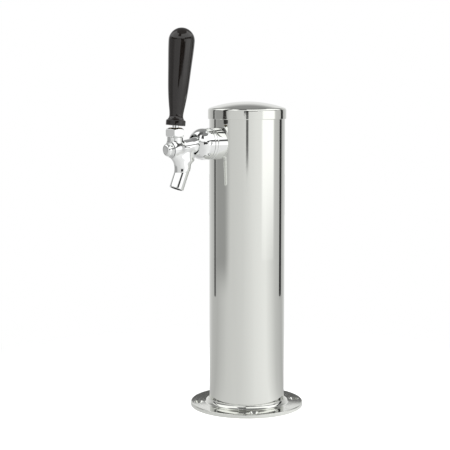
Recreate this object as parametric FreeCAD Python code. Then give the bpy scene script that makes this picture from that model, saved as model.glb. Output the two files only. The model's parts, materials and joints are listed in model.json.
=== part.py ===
import FreeCAD, Part
import math
import os

# Draft beer tower with one tap, in millimetres, +Z up. The origin is the centre of the
# base flange's underside, on the column's axis. The tap points along -Y.
# A distance s is measured from the column's axis towards the tap, so y = -s.

# Clearances
weld_gap = 0.05
bond_gap = 0.1
thread_gap = 0.1
slip_gap = 0.3
running_gap = 0.1
face_gap = 0.1

# Column, base flange and gasket
tower_height = 309.9
column_r = 38.1
column_wall = 1.2
flange_width = 14.0
flange_thick = 3.8
flange_edge_round = 0.8
neck_round = 4.7
neck_lip = 0.3
bolt_inset = 7.95
bolt_count = 4
bolt_turn = -28.0
bolt_hole_r = 2.75
bolt_sink_r = 5.2
bolt_sink_slope = 45.0
gasket_inner_step = 1.7
gasket_width = 3.2
gasket_thick = 1.2

# Tower cap and its liner ring
cap_wall = 1.0
cap_skirt = 8.3
cap_edge_round = 3.0
cap_dome_r = 115.0
liner_skirt = 6.0
liner_seat = 1.5
liner_width = 3.0
liner_fuse = 0.5

# Shank line, which carries the tap
shank_drop = 41.3
shank_r = 11.1
shank_bore_r = 3.2
shank_hole_gap = 0.4
shank_hole_depth = 6.0
shank_thread_chamfer = 0.8
collar_r = 15.8
collar_reach = 8.1
collar_edge_round = 0.8
shank_flange_r = 15.6
shank_flange_thick = 3.1
shank_head_r = 13.2
shank_head_length = 5.2
shank_inner_length = 24.9
saddle_washer_r = 15.0
saddle_washer_thick = 5.6
lock_nut_across = 31.75
lock_nut_thick = 6.5

# Tail fitting inside the column
tail_washer_thick = 1.5
tail_washer_r = 8.2
tail_flange_thick = 2.0
tail_nut_across = 27.0
tail_nut_lip = 1.3
tail_nut_overlap = 9.0
tail_nut_hole_gap = 0.6
elbow_r = 4.4
elbow_bore_r = 2.0
elbow_bend_r = 7.0
elbow_leg = 6.5
elbow_drop = 5.6
barb_length = 14.5
barb_root_r = 2.8
barb_count = 3
barb_pitch = 3.6
barb_rise = 2.5

# Beer line, its clamp and its connector
line_r = 4.75
line_bore_r = 3.175
clamp_width = 7.0
clamp_thick = 0.6
clamp_ear_width = 5.0
clamp_ear_reach = 3.2
clamp_drop = 1.5
connector_bottom = 30.0
connector_length = 36.0
connector_r = 9.0
connector_edge_round = 1.0
connector_socket_gap = 0.07
connector_stop_thick = 2.0
collet_length = 5.0
collet_lip = 2.0
collet_lip_r = 7.4
collet_r = 6.2
seal_width = 1.6
seal_height = 2.4

# Foam sleeve
sleeve_gap = 0.5
sleeve_bottom = 25.0
sleeve_channel_gap = 2.5
sleeve_top_gap = 5.0

# Coupling nut and washer
nut_r = 15.5
nut_straight = 5.4
nut_nose_r = 11.5
nut_length = 14.9
nut_face_gap = 0.2
spanner_hole_r = 2.1
spanner_hole_depth = 1.5
spanner_hole_count = 8
spanner_hole_place = 5.8
spanner_hole_turn = 5.6
coupling_washer_thick = 1.5
coupling_washer_bore_r = 6.8

# Faucet body
faucet_flange_r = 12.8
faucet_flange_thick = 2.6
faucet_neck_r = 9.3
faucet_neck_length = 1.5
faucet_cone_start = 3.2
faucet_droop = 7.0
barrel_r = 7.0
barrel_start = 11.0
barrel_bore_r = 5.6
boss_r = 8.5
boss_length = 7.5
boss_blend = 6.5
boss_chamfer = 0.6
nose_reach = 4.2
seat_place = 11.2
seat_thick = 2.3
seat_hole_r = 4.0
chamber_r = 6.6
pivot_reach = 30.9
tap_neck_r = 7.7
tap_neck_rise = 7.5
tap_neck_bore_r = 6.0
tap_neck_bore_root = 2.0
tap_thread_r = 6.9
tap_thread_height = 3.1
tap_neck_root = 4.0
spout_lean = 21.5
spout_r = 7.05
spout_bore_r = 5.6
spout_length = 19.1
spout_top_reach = 22.6
spout_top_drop = 24.8
spout_bore_length = 16.0
spout_root = 1.5
throat_r = 4.2
throat_top_reach = 18.2
throat_top_drop = 2.1
throat_lap = 4.0
plug_seat_depth = 12.0

# Belly, as level ellipses between the spout and the barrel. A low one has its height above the
# spout's top, its centre's reach past the spout's, and its half length past the spout's radius.
# A high one has its depth below the shank's axis instead of its height.
belly_low = [
    (-1.0, 0.2, 0.75),
    (3.0, -0.3, 1.35),
    (6.0, -0.5, 2.1),
    (8.9, -1.4, 4.5),
    (11.6, -0.7, 5.75),
]
belly_high = [
    (8.3, -0.6, 5.85),
    (3.3, -0.6, 5.6),
]
belly_side = 0.1

# Shaft, seat washer and seat screw
rod_r = 2.2
rod_shoulder_r = 3.4
rod_shoulder_thick = 1.2
seat_washer_thick = 2.5
seat_washer_r = 5.8
seat_screw_head_r = 4.5
seat_screw_head_thick = 1.6
seat_screw_r = 1.2
seat_screw_length = 5.0
seat_screw_hole_extra = 0.5
driver_slot_width = 1.0
driver_slot_depth = 0.7
guide_lap = 1.95
guide_front_gap = 0.4
guide_chamfer = 0.4
guide_taper = 1.5
rod_shoulder_taper = 1.0
slot_wall = 1.0
slot_half_length = 2.5
slot_flare = 15.0
slot_floor = 2.6

# Front plug and its gasket
plug_gasket_thick = 0.56
plug_flange_r = 8.0
plug_flange_thick = 0.8
plug_flange_chamfer = 0.3
plug_button_r = 6.2
plug_button_length = 5.0
plug_button_round = 2.6
plug_sleeve_wall = 1.1
plug_sleeve_length = 2.0

# Lever, ball seat, friction washer and bonnet
ball_r = 5.0
pivot_rise = 10.9
ball_gap = 0.15
lever_lean = 5.25
lever_neck_r = 3.0
tongue_r = 2.2
tongue_reach = 14.6
ball_washer_depth = 3.4
ball_washer_drop = 0.3
friction_washer_height = 1.5
bonnet_across = 17.2
bonnet_hex_rise = 4.8
bonnet_rise = 6.0
bonnet_mouth_r = 5.85
bonnet_rim = 0.25
bonnet_throat_r = 4.3
bonnet_throat_rise = 1.9
bonnet_chamfer = 0.7
bonnet_corner_slope = 35.0
bonnet_turn = -35.0

# Handle and its threaded insert
handle_rise = 7.9
handle_ring_r = 9.55
handle_ring_height = 5.5
handle_waist_r = 6.7
handle_waist_rise = 9.8
handle_length = 94.4
handle_top_r = 12.7
handle_foot_chamfer = 0.6
handle_ring_round = 1.2
handle_hollow = 0.45
handle_flare = [(7.2, 0.85), (18.2, 2.4)]
handle_bulge = 1.6
handle_bulge_drop = 25.0
insert_r = 6.2
insert_length = 9.0
insert_inset = 0.6
stud_r = 4.75
stud_length = 11.0
stud_hole_slack = 2.0


def vec(x, y, z):
    return FreeCAD.Vector(x, y, z)


def polar(radius, degrees):
    angle = math.radians(degrees)
    return radius * math.cos(angle), radius * math.sin(angle)


def outline_face(steps):
    """Closed face in the XZ plane. A step is a point (radius, height), or a pair of
    points (through, end) for an arc. The last step joins the first."""
    def at(point):
        return vec(point[0], 0, point[1])
    edges = []
    start = steps[0]
    for step in list(steps[1:]) + [steps[0]]:
        if isinstance(step[0], tuple):
            through, end = step
            edges.append(Part.Arc(at(start), at(through), at(end)).toShape())
            start = end
        else:
            if math.dist(start, step) > 1e-6:
                edges.append(Part.LineSegment(at(start), at(step)).toShape())
            start = step
    return Part.Face(Part.Wire(edges))


def lathe(steps):
    return outline_face(steps).revolve(vec(0, 0, 0), vec(0, 0, 1), 360)


def rod(radius, low, high):
    return Part.makeCylinder(radius, high - low, vec(0, 0, low))


def ring(outer, inner, low, high):
    return rod(outer, low, high).cut(rod(inner, low - 1, high + 1))


def hexagon(across, low, high, turn=0.0):
    corner = across / math.sqrt(3)
    points = [vec(*polar(corner, turn + 60 * i), low) for i in range(7)]
    return Part.Face(Part.makePolygon(points)).extrude(vec(0, 0, high - low))


def placed(shape, s, z, turn):
    """Turns the shape's own +Z axis about X, then moves its origin to (s, z). A turn of
    90 points it at the tap, and 180 points it down."""
    copy = shape.copy()
    copy.rotate(vec(0, 0, 0), vec(1, 0, 0), turn)
    copy.translate(vec(0, -s, z))
    return copy


def arc_point(centre, radius, degrees):
    dx, dz = polar(radius, degrees)
    return centre[0] + dx, centre[1] + dz


# Base flange
flange_bore_r = column_r + weld_gap
neck_foot_r = flange_bore_r + neck_lip + neck_round
flange_r = neck_foot_r + flange_width
bolt_circle_r = flange_r - bolt_inset

# Heights of the tap
shank_height = tower_height - shank_drop
ball_z = shank_height + pivot_rise
tap_neck_top = shank_height + tap_neck_rise
spout_top_z = shank_height - spout_top_drop
throat_top_z = shank_height - throat_top_drop

# Places along the shank line, as distances s from the column's axis
column_inner_r = column_r - column_wall
collar_front = column_r + collar_reach
shank_flange_front = collar_front + shank_flange_thick
shank_head_front = shank_flange_front + shank_head_length
body_rear = shank_head_front + coupling_washer_thick
nut_rear = shank_flange_front + nut_face_gap
nut_front = nut_rear + nut_length
shank_inner_end = column_inner_r - shank_inner_length
washer_inner_face = column_inner_r - saddle_washer_thick
barrel_origin = body_rear + 1.0
pivot_s = body_rear + pivot_reach
body_length = pivot_reach + nose_reach

# Directions, as turns about X
shank_turn = 90.0
barrel_turn = 90.0 + faucet_droop
spout_turn = 180.0 - spout_lean
lever_turn = -lever_lean

# The tongue's tip, along the barrel and above its axis
droop = math.radians(faucet_droop)
tip_s = pivot_s + tongue_reach * math.sin(math.radians(lever_lean))
tip_z = ball_z - tongue_reach * math.cos(math.radians(lever_lean))
tongue_place = (tip_s - barrel_origin) * math.cos(droop) + (shank_height - tip_z) * math.sin(droop)
guide_rear = tongue_place - slot_half_length - guide_lap

# Heights of the cap
cap_r = column_r + slip_gap + cap_wall
dome_centre = tower_height - cap_dome_r
cap_round_centre = (
    cap_r - cap_edge_round,
    dome_centre + math.sqrt((cap_dome_r - cap_edge_round) ** 2 - (cap_r - cap_edge_round) ** 2),
)
cap_bottom = cap_round_centre[1] - cap_skirt
column_top = cap_round_centre[1] - liner_seat
dome_edge_angle = 90 - math.degrees(math.asin((cap_r - cap_edge_round) / (cap_dome_r - cap_edge_round)))

# The line that falls from the elbow
bend_s = shank_inner_end - tail_washer_thick - tail_flange_thick - elbow_leg
line_s = bend_s - elbow_bend_r
elbow_shoulder_z = shank_height - elbow_bend_r - elbow_drop
lock_nut_corner = lock_nut_across / math.sqrt(3)


def in_shank_line(shape):
    return placed(shape, 0, shank_height, shank_turn)


def in_barrel_line(shape):
    return placed(shape, barrel_origin, shank_height, barrel_turn)


def column_tube():
    tube = ring(column_r, column_inner_r, 0, column_top)
    hole = in_shank_line(rod(shank_r + shank_hole_gap, column_inner_r - shank_hole_depth, column_r + 1))
    return tube.cut(hole)


def base_flange():
    round_centre = (neck_foot_r, flange_thick + neck_round)
    edge_centre = (flange_r - flange_edge_round, flange_thick - flange_edge_round)
    plate = lathe([
        (flange_bore_r, 0),
        (flange_r, 0),
        (flange_r, edge_centre[1]),
        (arc_point(edge_centre, flange_edge_round, 45), (edge_centre[0], flange_thick)),
        (neck_foot_r, flange_thick),
        (arc_point(round_centre, neck_round, 225), (flange_bore_r + neck_lip, round_centre[1])),
        (flange_bore_r, round_centre[1]),
    ])
    sink_depth = (bolt_sink_r - bolt_hole_r) / math.tan(math.radians(bolt_sink_slope))
    sink = Part.makeCone(bolt_hole_r, bolt_sink_r, sink_depth, vec(0, 0, flange_thick - sink_depth))
    screw_hole = rod(bolt_hole_r, -1, flange_thick + 1).fuse(sink)
    for i in range(bolt_count):
        x, y = polar(bolt_circle_r, bolt_turn + 360 * i / bolt_count)
        hole = screw_hole.copy()
        hole.translate(vec(x, y, 0))
        plate = plate.cut(hole)
    inner = flange_bore_r + gasket_inner_step
    return plate.cut(ring(inner + gasket_width, inner, -1, gasket_thick))


def base_gasket():
    inner = flange_bore_r + gasket_inner_step
    return ring(inner + gasket_width - slip_gap, inner + slip_gap, 0, gasket_thick - face_gap)


def dome_outline(offset):
    """Skirt top, rounded shoulder and dome, set in from the cap's outside by offset."""
    round_r = cap_edge_round - offset
    shoulder = arc_point(cap_round_centre, round_r, dome_edge_angle)
    middle = arc_point(cap_round_centre, round_r, dome_edge_angle / 2)
    dome_middle = arc_point((0, dome_centre), cap_dome_r - offset, (90 + dome_edge_angle) / 2)
    return [
        (cap_r - offset, cap_round_centre[1]),
        (middle, shoulder),
        (dome_middle, (0, tower_height - offset)),
    ]


def tower_cap():
    outer = dome_outline(0)
    inner = dome_outline(cap_wall)
    solid = lathe([(0, cap_bottom), (cap_r, cap_bottom)] + outer)
    hollow = lathe([(0, cap_bottom - 1), (cap_r - cap_wall, cap_bottom - 1)] + inner)
    return solid.cut(hollow)


def cap_liner():
    """Plastic ring in the cap. Its lip sits on the column's edge and its skirt plugs the
    column, and its top follows the underside of the dome."""
    lip_r = column_r - slip_gap
    skirt_r = column_inner_r - slip_gap
    inside_r = skirt_r - liner_width
    blank = ring(lip_r, inside_r, column_top, tower_height)
    blank = blank.fuse(ring(skirt_r, inside_r, column_top - liner_skirt, column_top + liner_fuse))
    under_dome = dome_outline(cap_wall + bond_gap)
    return blank.common(lathe([(0, 0), (cap_r - cap_wall - bond_gap, 0)] + under_dome))


def insulation_sleeve():
    top = shank_height - lock_nut_corner - sleeve_top_gap
    outer_r = column_inner_r - sleeve_gap
    channel = Part.makeCylinder(connector_r + sleeve_channel_gap, top, vec(0, -line_s, 0))
    return rod(outer_r, sleeve_bottom, top).cut(channel)


def saddle_collar():
    blank = lathe([
        (shank_r + slip_gap, 0),
        (collar_r, 0),
        (collar_r, collar_front - collar_edge_round),
        (arc_point((collar_r - collar_edge_round, collar_front - collar_edge_round), collar_edge_round, 45),
         (collar_r - collar_edge_round, collar_front)),
        (shank_r + slip_gap, collar_front),
    ])
    return in_shank_line(blank).cut(rod(column_r + face_gap, 0, tower_height))


def shank():
    rear_chamfer = shank_thread_chamfer
    profile = [
        (shank_bore_r, shank_inner_end),
        (shank_r - rear_chamfer, shank_inner_end),
        (shank_r, shank_inner_end + rear_chamfer),
        (shank_r, collar_front + face_gap),
        (shank_flange_r, collar_front + face_gap),
        (shank_flange_r, shank_flange_front),
        (shank_head_r, shank_flange_front),
        (shank_head_r, shank_head_front),
        (shank_bore_r, shank_head_front),
    ]
    return in_shank_line(lathe(profile))


def inner_saddle_washer():
    blank = in_shank_line(ring(saddle_washer_r, shank_r + slip_gap, washer_inner_face, column_r))
    return blank.common(rod(column_inner_r - face_gap, 0, tower_height))


def hex_nut(across, bore_r, low, high):
    """Hexagon with its corners turned off at both ends."""
    corner = across / math.sqrt(3)
    bevel = (corner - across / 2) * math.tan(math.radians(30))
    limits = lathe([
        (bore_r, low), (across / 2, low), (corner, low + bevel),
        (corner, high - bevel), (across / 2, high), (bore_r, high),
    ])
    return hexagon(across, low, high).common(limits)


def shank_lock_nut():
    front = washer_inner_face - face_gap
    return in_shank_line(hex_nut(lock_nut_across, shank_r + thread_gap, front - lock_nut_thick, front))


def tail_washer():
    front = shank_inner_end
    return in_shank_line(ring(tail_washer_r, shank_bore_r, front - tail_washer_thick, front))


def tail_nut():
    flange_rear = shank_inner_end - tail_washer_thick - tail_flange_thick
    low = flange_rear - face_gap - tail_nut_lip
    high = shank_inner_end + tail_nut_overlap
    blank = hex_nut(tail_nut_across, elbow_r + tail_nut_hole_gap, low, high)
    return in_shank_line(blank.cut(rod(shank_r + thread_gap, flange_rear - face_gap, high + 1)))


def tail_elbow():
    """Bent tube with a flange at the shank and a barb that the beer line pushes onto."""
    flange_front = shank_inner_end - tail_washer_thick
    flange = rod(tail_washer_r, flange_front - tail_flange_thick, flange_front)
    body = in_shank_line(flange.fuse(rod(elbow_r, bend_s, flange_front)))
    path = Part.Arc(
        vec(0, -bend_s, shank_height),
        vec(0, -bend_s + elbow_bend_r * math.sin(math.pi / 4),
            shank_height - elbow_bend_r * (1 - math.cos(math.pi / 4))),
        vec(0, -line_s, shank_height - elbow_bend_r),
    ).toShape()

    def bend(radius):
        circle = Part.Circle(vec(0, -bend_s, shank_height), vec(0, 1, 0), radius).toShape()
        return Part.Wire(path).makePipeShell([Part.Wire(circle)], True, False)

    drop_top = shank_height - elbow_bend_r
    barb_end = elbow_shoulder_z - barb_length
    leg = rod(elbow_r, elbow_shoulder_z, drop_top).fuse(rod(barb_root_r, barb_end, drop_top))
    for i in range(barb_count):
        low = barb_end + i * barb_pitch
        leg = leg.fuse(Part.makeCone(barb_root_r, line_bore_r, barb_rise, vec(0, 0, low)))
    leg.translate(vec(0, -line_s, 0))
    solid = body.fuse(bend(elbow_r)).fuse(leg)
    passage = in_shank_line(rod(elbow_bore_r, bend_s, flange_front + 1)).fuse(bend(elbow_bore_r))
    passage = passage.fuse(Part.makeCylinder(elbow_bore_r, drop_top - barb_end + 1,
                                             vec(0, -line_s, barb_end - 1)))
    return solid.cut(passage).removeSplitter()


line_top = elbow_shoulder_z - face_gap
connector_top = connector_bottom + connector_length
connector_middle = (connector_bottom + connector_top) / 2
line_bottom = connector_middle + connector_stop_thick / 2 + face_gap


def beer_line():
    tube = ring(line_r, line_bore_r, line_bottom, line_top)
    tube.translate(vec(0, -line_s, 0))
    return tube


def hose_clamp():
    """Band with one raised ear. The band is open under the ear."""
    inner = line_r + slip_gap
    high = line_top - clamp_drop
    low = high - clamp_width
    hole_width = clamp_ear_width - 2 * clamp_thick
    hole_top = inner + clamp_thick + clamp_ear_reach
    corner = vec(-clamp_ear_width / 2, 0, low)
    ear = Part.makeBox(clamp_ear_width, hole_top + clamp_thick, clamp_width, corner)
    hole = Part.makeBox(hole_width, hole_top, clamp_width + 2, vec(-hole_width / 2, 0, low - 1))
    band = rod(inner + clamp_thick, low, high).fuse(ear).cut([hole, rod(inner, low - 1, high + 1)])
    band.translate(vec(0, -line_s, 0))
    return band


def mirrored_about_connector(shape):
    return shape.mirror(vec(0, 0, connector_middle), vec(0, 0, 1))


def line_connector():
    socket_r = line_r + connector_socket_gap
    edge = connector_edge_round
    body = lathe([
        (line_bore_r, connector_bottom),
        (connector_r - edge, connector_bottom),
        (connector_r, connector_bottom + edge),
        (connector_r, connector_top - edge),
        (connector_r - edge, connector_top),
        (line_bore_r, connector_top),
    ])
    stop_low = connector_middle - connector_stop_thick / 2
    socket = rod(socket_r, connector_bottom - 1, stop_low)
    socket = socket.fuse(rod(collet_r + thread_gap, connector_bottom - 1, connector_bottom + collet_length))
    socket = socket.fuse(rod(socket_r + seal_width, stop_low - seal_height, stop_low))
    body = body.cut(socket).cut(mirrored_about_connector(socket))
    body.translate(vec(0, -line_s, 0))
    return body


def line_collets():
    """Release collets, one in each mouth of the connector."""
    mouth = line_r + slip_gap
    low = connector_bottom - face_gap - collet_lip
    collet = ring(collet_r, mouth, low, connector_bottom + collet_length - face_gap)
    collet = collet.fuse(ring(collet_lip_r, mouth, low, low + collet_lip))
    pair = Part.makeCompound([collet, mirrored_about_connector(collet)])
    pair.translate(vec(0, -line_s, 0))
    return pair


def line_seals():
    """Rubber rings round the line, one behind each collet."""
    groove_r = line_r + connector_socket_gap + seal_width
    stop_low = connector_middle - connector_stop_thick / 2
    seal = ring(groove_r - face_gap, line_r + slip_gap,
                stop_low - seal_height + face_gap, stop_low - face_gap)
    pair = Part.makeCompound([seal, mirrored_about_connector(seal)])
    pair.translate(vec(0, -line_s, 0))
    return pair


def coupling_washer():
    return in_shank_line(ring(faucet_flange_r - slip_gap, coupling_washer_bore_r,
                              shank_head_front, body_rear))


def coupling_nut():
    """Round nut with a domed nose and spanner holes. It pulls the faucet body's flange
    onto the shank's threaded head."""
    thread_r = shank_head_r + slip_gap
    shoulder = body_rear + faucet_flange_thick + face_gap
    nose_start = nut_rear + nut_straight
    nose_centre = (nut_r - nut_nose_r, nose_start)
    nose_angle = math.degrees(math.asin((nut_front - nose_start) / nut_nose_r))
    mouth_r = faucet_neck_r + slip_gap
    blank = lathe([
        (thread_r, nut_rear),
        (nut_r, nut_rear),
        (nut_r, nose_start),
        (arc_point(nose_centre, nut_nose_r, nose_angle / 2), arc_point(nose_centre, nut_nose_r, nose_angle)),
        (mouth_r, nut_front),
        (mouth_r, shoulder),
        (thread_r, shoulder),
    ])
    hole = rod(spanner_hole_r, nut_r - spanner_hole_depth, nut_r + 1)
    hole.rotate(vec(0, 0, 0), vec(0, 1, 0), 90)
    hole.translate(vec(0, 0, nut_rear + spanner_hole_place))
    for i in range(spanner_hole_count):
        drill = hole.copy()
        drill.rotate(vec(0, 0, 0), vec(0, 0, 1), spanner_hole_turn + 360 * i / spanner_hole_count)
        blank = blank.cut(drill)
    return in_shank_line(blank)


def spout_place(shape):
    return placed(shape, body_rear + spout_top_reach, spout_top_z, spout_turn)


def faucet_belly():
    """Loft that carries the barrel down into the spout."""
    low = [(spout_top_z + rise, spout_r + belly_side, reach, past) for rise, reach, past in belly_low]
    high = [(shank_height - depth, barrel_r, reach, past) for depth, reach, past in belly_high]
    wires = []
    for height, half_width, reach, past in low + high:
        curve = Part.Ellipse()
        curve.Center = vec(0, 0, 0)
        curve.MajorRadius = spout_r + past
        curve.MinorRadius = half_width
        wire = Part.Wire(curve.toShape())
        wire.rotate(vec(0, 0, 0), vec(0, 0, 1), 90)
        wire.translate(vec(0, -(body_rear + spout_top_reach + reach), height))
        wires.append(wire)
    return Part.makeLoft(wires, True, False)


def faucet_body():
    flange_front = body_rear + faucet_flange_thick
    flange = in_shank_line(rod(faucet_flange_r, body_rear, flange_front))
    neck = in_shank_line(rod(faucet_neck_r, flange_front - 1, flange_front + faucet_neck_length))
    barrel = lathe([
        (0, 1),
        (faucet_neck_r - slip_gap, 1),
        (faucet_neck_r - slip_gap, faucet_cone_start),
        (barrel_r, barrel_start),
        (barrel_r, body_length - boss_length - boss_blend),
        (boss_r, body_length - boss_length),
        (boss_r, body_length - boss_chamfer),
        (boss_r - boss_chamfer, body_length),
        (0, body_length),
    ])
    tap_neck = rod(tap_neck_r, shank_height - tap_neck_root, tap_neck_top)
    tap_neck = tap_neck.fuse(rod(tap_thread_r, tap_neck_top - 1, tap_neck_top + tap_thread_height))
    tap_neck.translate(vec(0, -pivot_s, 0))
    spout = spout_place(rod(spout_r, -spout_root, spout_length))
    body = in_barrel_line(barrel).fuse([flange, neck, tap_neck, faucet_belly(), spout])

    chamber = rod(chamber_r, -3, seat_place)
    seat_hole = rod(seat_hole_r, 0, seat_place + seat_thick + 1)
    bore = rod(barrel_bore_r, seat_place + seat_thick, body_length + 1)
    plug_bore = rod(barrel_bore_r + plug_sleeve_wall + thread_gap, body_length - plug_sleeve_length,
                    body_length + 1)
    plug_seat = rod(plug_flange_r + slip_gap, body_length, body_length + plug_seat_depth)
    bores = in_barrel_line(chamber.fuse([seat_hole, bore, plug_bore, plug_seat]))
    neck_bore = placed(rod(tap_neck_bore_r, -tap_neck_bore_root, pivot_rise), pivot_s, shank_height, 0)
    spout_bore = spout_place(rod(spout_bore_r, spout_length - spout_bore_length, spout_length + 1))
    throat_rise = throat_top_z - spout_top_z
    throat_run = spout_top_reach - throat_top_reach
    throat_turn = 180 - math.degrees(math.atan2(throat_run, throat_rise))
    throat = placed(rod(throat_r, 0, math.hypot(throat_rise, throat_run) + throat_lap),
                    body_rear + throat_top_reach, throat_top_z, throat_turn)
    return body.cut([bores, neck_bore, spout_bore, throat]).removeSplitter()


def valve_shaft():
    """Rod with the tongue's pocket in its guide. It slides in the barrel."""
    washer_front = seat_place - face_gap
    rod_rear = washer_front - seat_washer_thick
    guide_front = body_length + plug_gasket_thick - guide_front_gap
    guide_r = barrel_bore_r - running_gap
    shaft = lathe([
        (0, rod_rear),
        (rod_r, rod_rear),
        (rod_r, washer_front + face_gap),
        (rod_shoulder_r, washer_front + face_gap),
        (rod_shoulder_r, washer_front + face_gap + rod_shoulder_thick),
        (rod_r, washer_front + face_gap + rod_shoulder_thick + rod_shoulder_taper),
        (rod_r, guide_rear - guide_taper),
        (guide_r, guide_rear),
        (guide_r, guide_front - guide_chamfer),
        (guide_r - guide_chamfer, guide_front),
        (0, guide_front),
    ])
    hole_end = rod_rear + seat_screw_length + seat_screw_hole_extra
    shaft = shaft.cut(rod(seat_screw_r + thread_gap, rod_rear - 1, hole_end))
    half_width = tongue_r + slip_gap
    top = barrel_bore_r + 1
    spread = (top + slot_wall) * math.tan(math.radians(slot_flare))
    slot_points = [
        vec(-half_width, -slot_floor, tongue_place - slot_half_length),
        vec(-half_width, -slot_floor, tongue_place + slot_half_length),
        vec(-half_width, -slot_wall, tongue_place + slot_half_length),
        vec(-half_width, top, tongue_place + slot_half_length + spread),
        vec(-half_width, top, tongue_place - slot_half_length - spread),
        vec(-half_width, -slot_wall, tongue_place - slot_half_length),
    ]
    slot = Part.Face(Part.makePolygon(slot_points + slot_points[:1])).extrude(vec(2 * half_width, 0, 0))
    return in_barrel_line(shaft.cut(slot))


def seat_washer():
    front = seat_place - face_gap
    return in_barrel_line(ring(seat_washer_r, rod_r + bond_gap, front - seat_washer_thick, front))


def seat_screw():
    head_front = seat_place - seat_washer_thick - 2 * face_gap
    head = rod(seat_screw_head_r, head_front - seat_screw_head_thick, head_front)
    stem = rod(seat_screw_r, head_front - 1, head_front + seat_screw_length)
    corner = vec(-seat_screw_head_r - 1, -driver_slot_width / 2, head_front - seat_screw_head_thick)
    driver_slot = Part.makeBox(2 * seat_screw_head_r + 2, driver_slot_width, driver_slot_depth, corner)
    return in_barrel_line(head.fuse(stem).cut(driver_slot))


def plug_gasket():
    inner = barrel_bore_r + plug_sleeve_wall + bond_gap
    return in_barrel_line(ring(plug_flange_r - bond_gap, inner, body_length, body_length + plug_gasket_thick))


def front_plug():
    """Cup with a threaded sleeve that guides the shaft, a flange and a domed button."""
    sleeve_r = barrel_bore_r + plug_sleeve_wall
    flange_rear = body_length + plug_gasket_thick
    flange_front = flange_rear + plug_flange_thick
    button_front = flange_front + plug_button_length
    button_edge = (plug_button_r - plug_button_round, button_front - plug_button_round)
    solid = lathe([
        (0, body_length - plug_sleeve_length + face_gap),
        (sleeve_r, body_length - plug_sleeve_length + face_gap),
        (sleeve_r, flange_rear),
        (plug_flange_r, flange_rear),
        (plug_flange_r, flange_front - plug_flange_chamfer),
        (plug_flange_r - plug_flange_chamfer, flange_front),
        (plug_button_r, flange_front),
        (plug_button_r, button_edge[1]),
        (arc_point(button_edge, plug_button_round, 45), (button_edge[0], button_front)),
        (0, button_front),
    ])
    return in_barrel_line(solid.cut(rod(barrel_bore_r, 0, flange_rear)))


def lever_place(shape):
    return placed(shape, pivot_s, ball_z, lever_turn)


def lever():
    """Stud above, ball in its seat, and a round-ended tongue that moves the shaft."""
    parts = [
        rod(lever_neck_r, 0, handle_rise + insert_inset + 1),
        rod(stud_r, handle_rise + insert_inset + face_gap, handle_rise + stud_length),
        rod(tongue_r, -tongue_reach, 0),
        Part.makeSphere(tongue_r, vec(0, 0, -tongue_reach)),
    ]
    return lever_place(Part.makeSphere(ball_r).fuse(parts)).removeSplitter()


def ball_washer():
    """Plastic cup under the ball, in the top of the faucet's neck."""
    cup = rod(tap_neck_bore_r - running_gap, -ball_washer_depth, -ball_washer_drop)
    cup = cup.cut(Part.makeSphere(ball_r + ball_gap))
    return placed(cup, pivot_s, ball_z, 0)


bonnet_bore_r = tap_thread_r + slip_gap


def friction_washer():
    low = tap_neck_top + tap_thread_height + face_gap - ball_z
    washer = rod(bonnet_bore_r - face_gap, low, low + friction_washer_height)
    washer = washer.cut(Part.makeSphere(ball_r + ball_gap))
    return placed(washer, pivot_s, ball_z, 0)


def bonnet_nut():
    """Hexagon nut with a conical mouth that lets the lever lean. Its inside holds the
    ball down through the friction washer."""
    low = tap_neck_top + face_gap - ball_z
    flat_r = bonnet_across / 2
    corner_r = bonnet_across / math.sqrt(3)
    washer_top = tap_neck_top + tap_thread_height + 2 * face_gap + friction_washer_height - ball_z
    corner_rise = (corner_r - flat_r) * math.tan(math.radians(bonnet_corner_slope))
    limits = lathe([
        (0, low),
        (flat_r - bonnet_chamfer, low),
        (flat_r, low + bonnet_chamfer),
        (corner_r, low + bonnet_chamfer + corner_rise),
        (corner_r, bonnet_hex_rise - corner_rise),
        (flat_r, bonnet_hex_rise),
        (bonnet_mouth_r + bonnet_rim, bonnet_rise),
        (0, bonnet_rise),
    ])
    cavity = lathe([
        (0, low - 1),
        (bonnet_bore_r, low - 1),
        (bonnet_bore_r, washer_top),
        (bonnet_throat_r, bonnet_throat_rise),
        (bonnet_mouth_r, bonnet_rise),
        (bonnet_mouth_r, bonnet_rise + 1),
        (0, bonnet_rise + 1),
    ])
    blank = hexagon(bonnet_across, low, bonnet_rise, turn=bonnet_turn).common(limits)
    nut = blank.cut(cavity).cut(Part.makeSphere(ball_r + ball_gap))
    return placed(nut, pivot_s, ball_z, 0)


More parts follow.
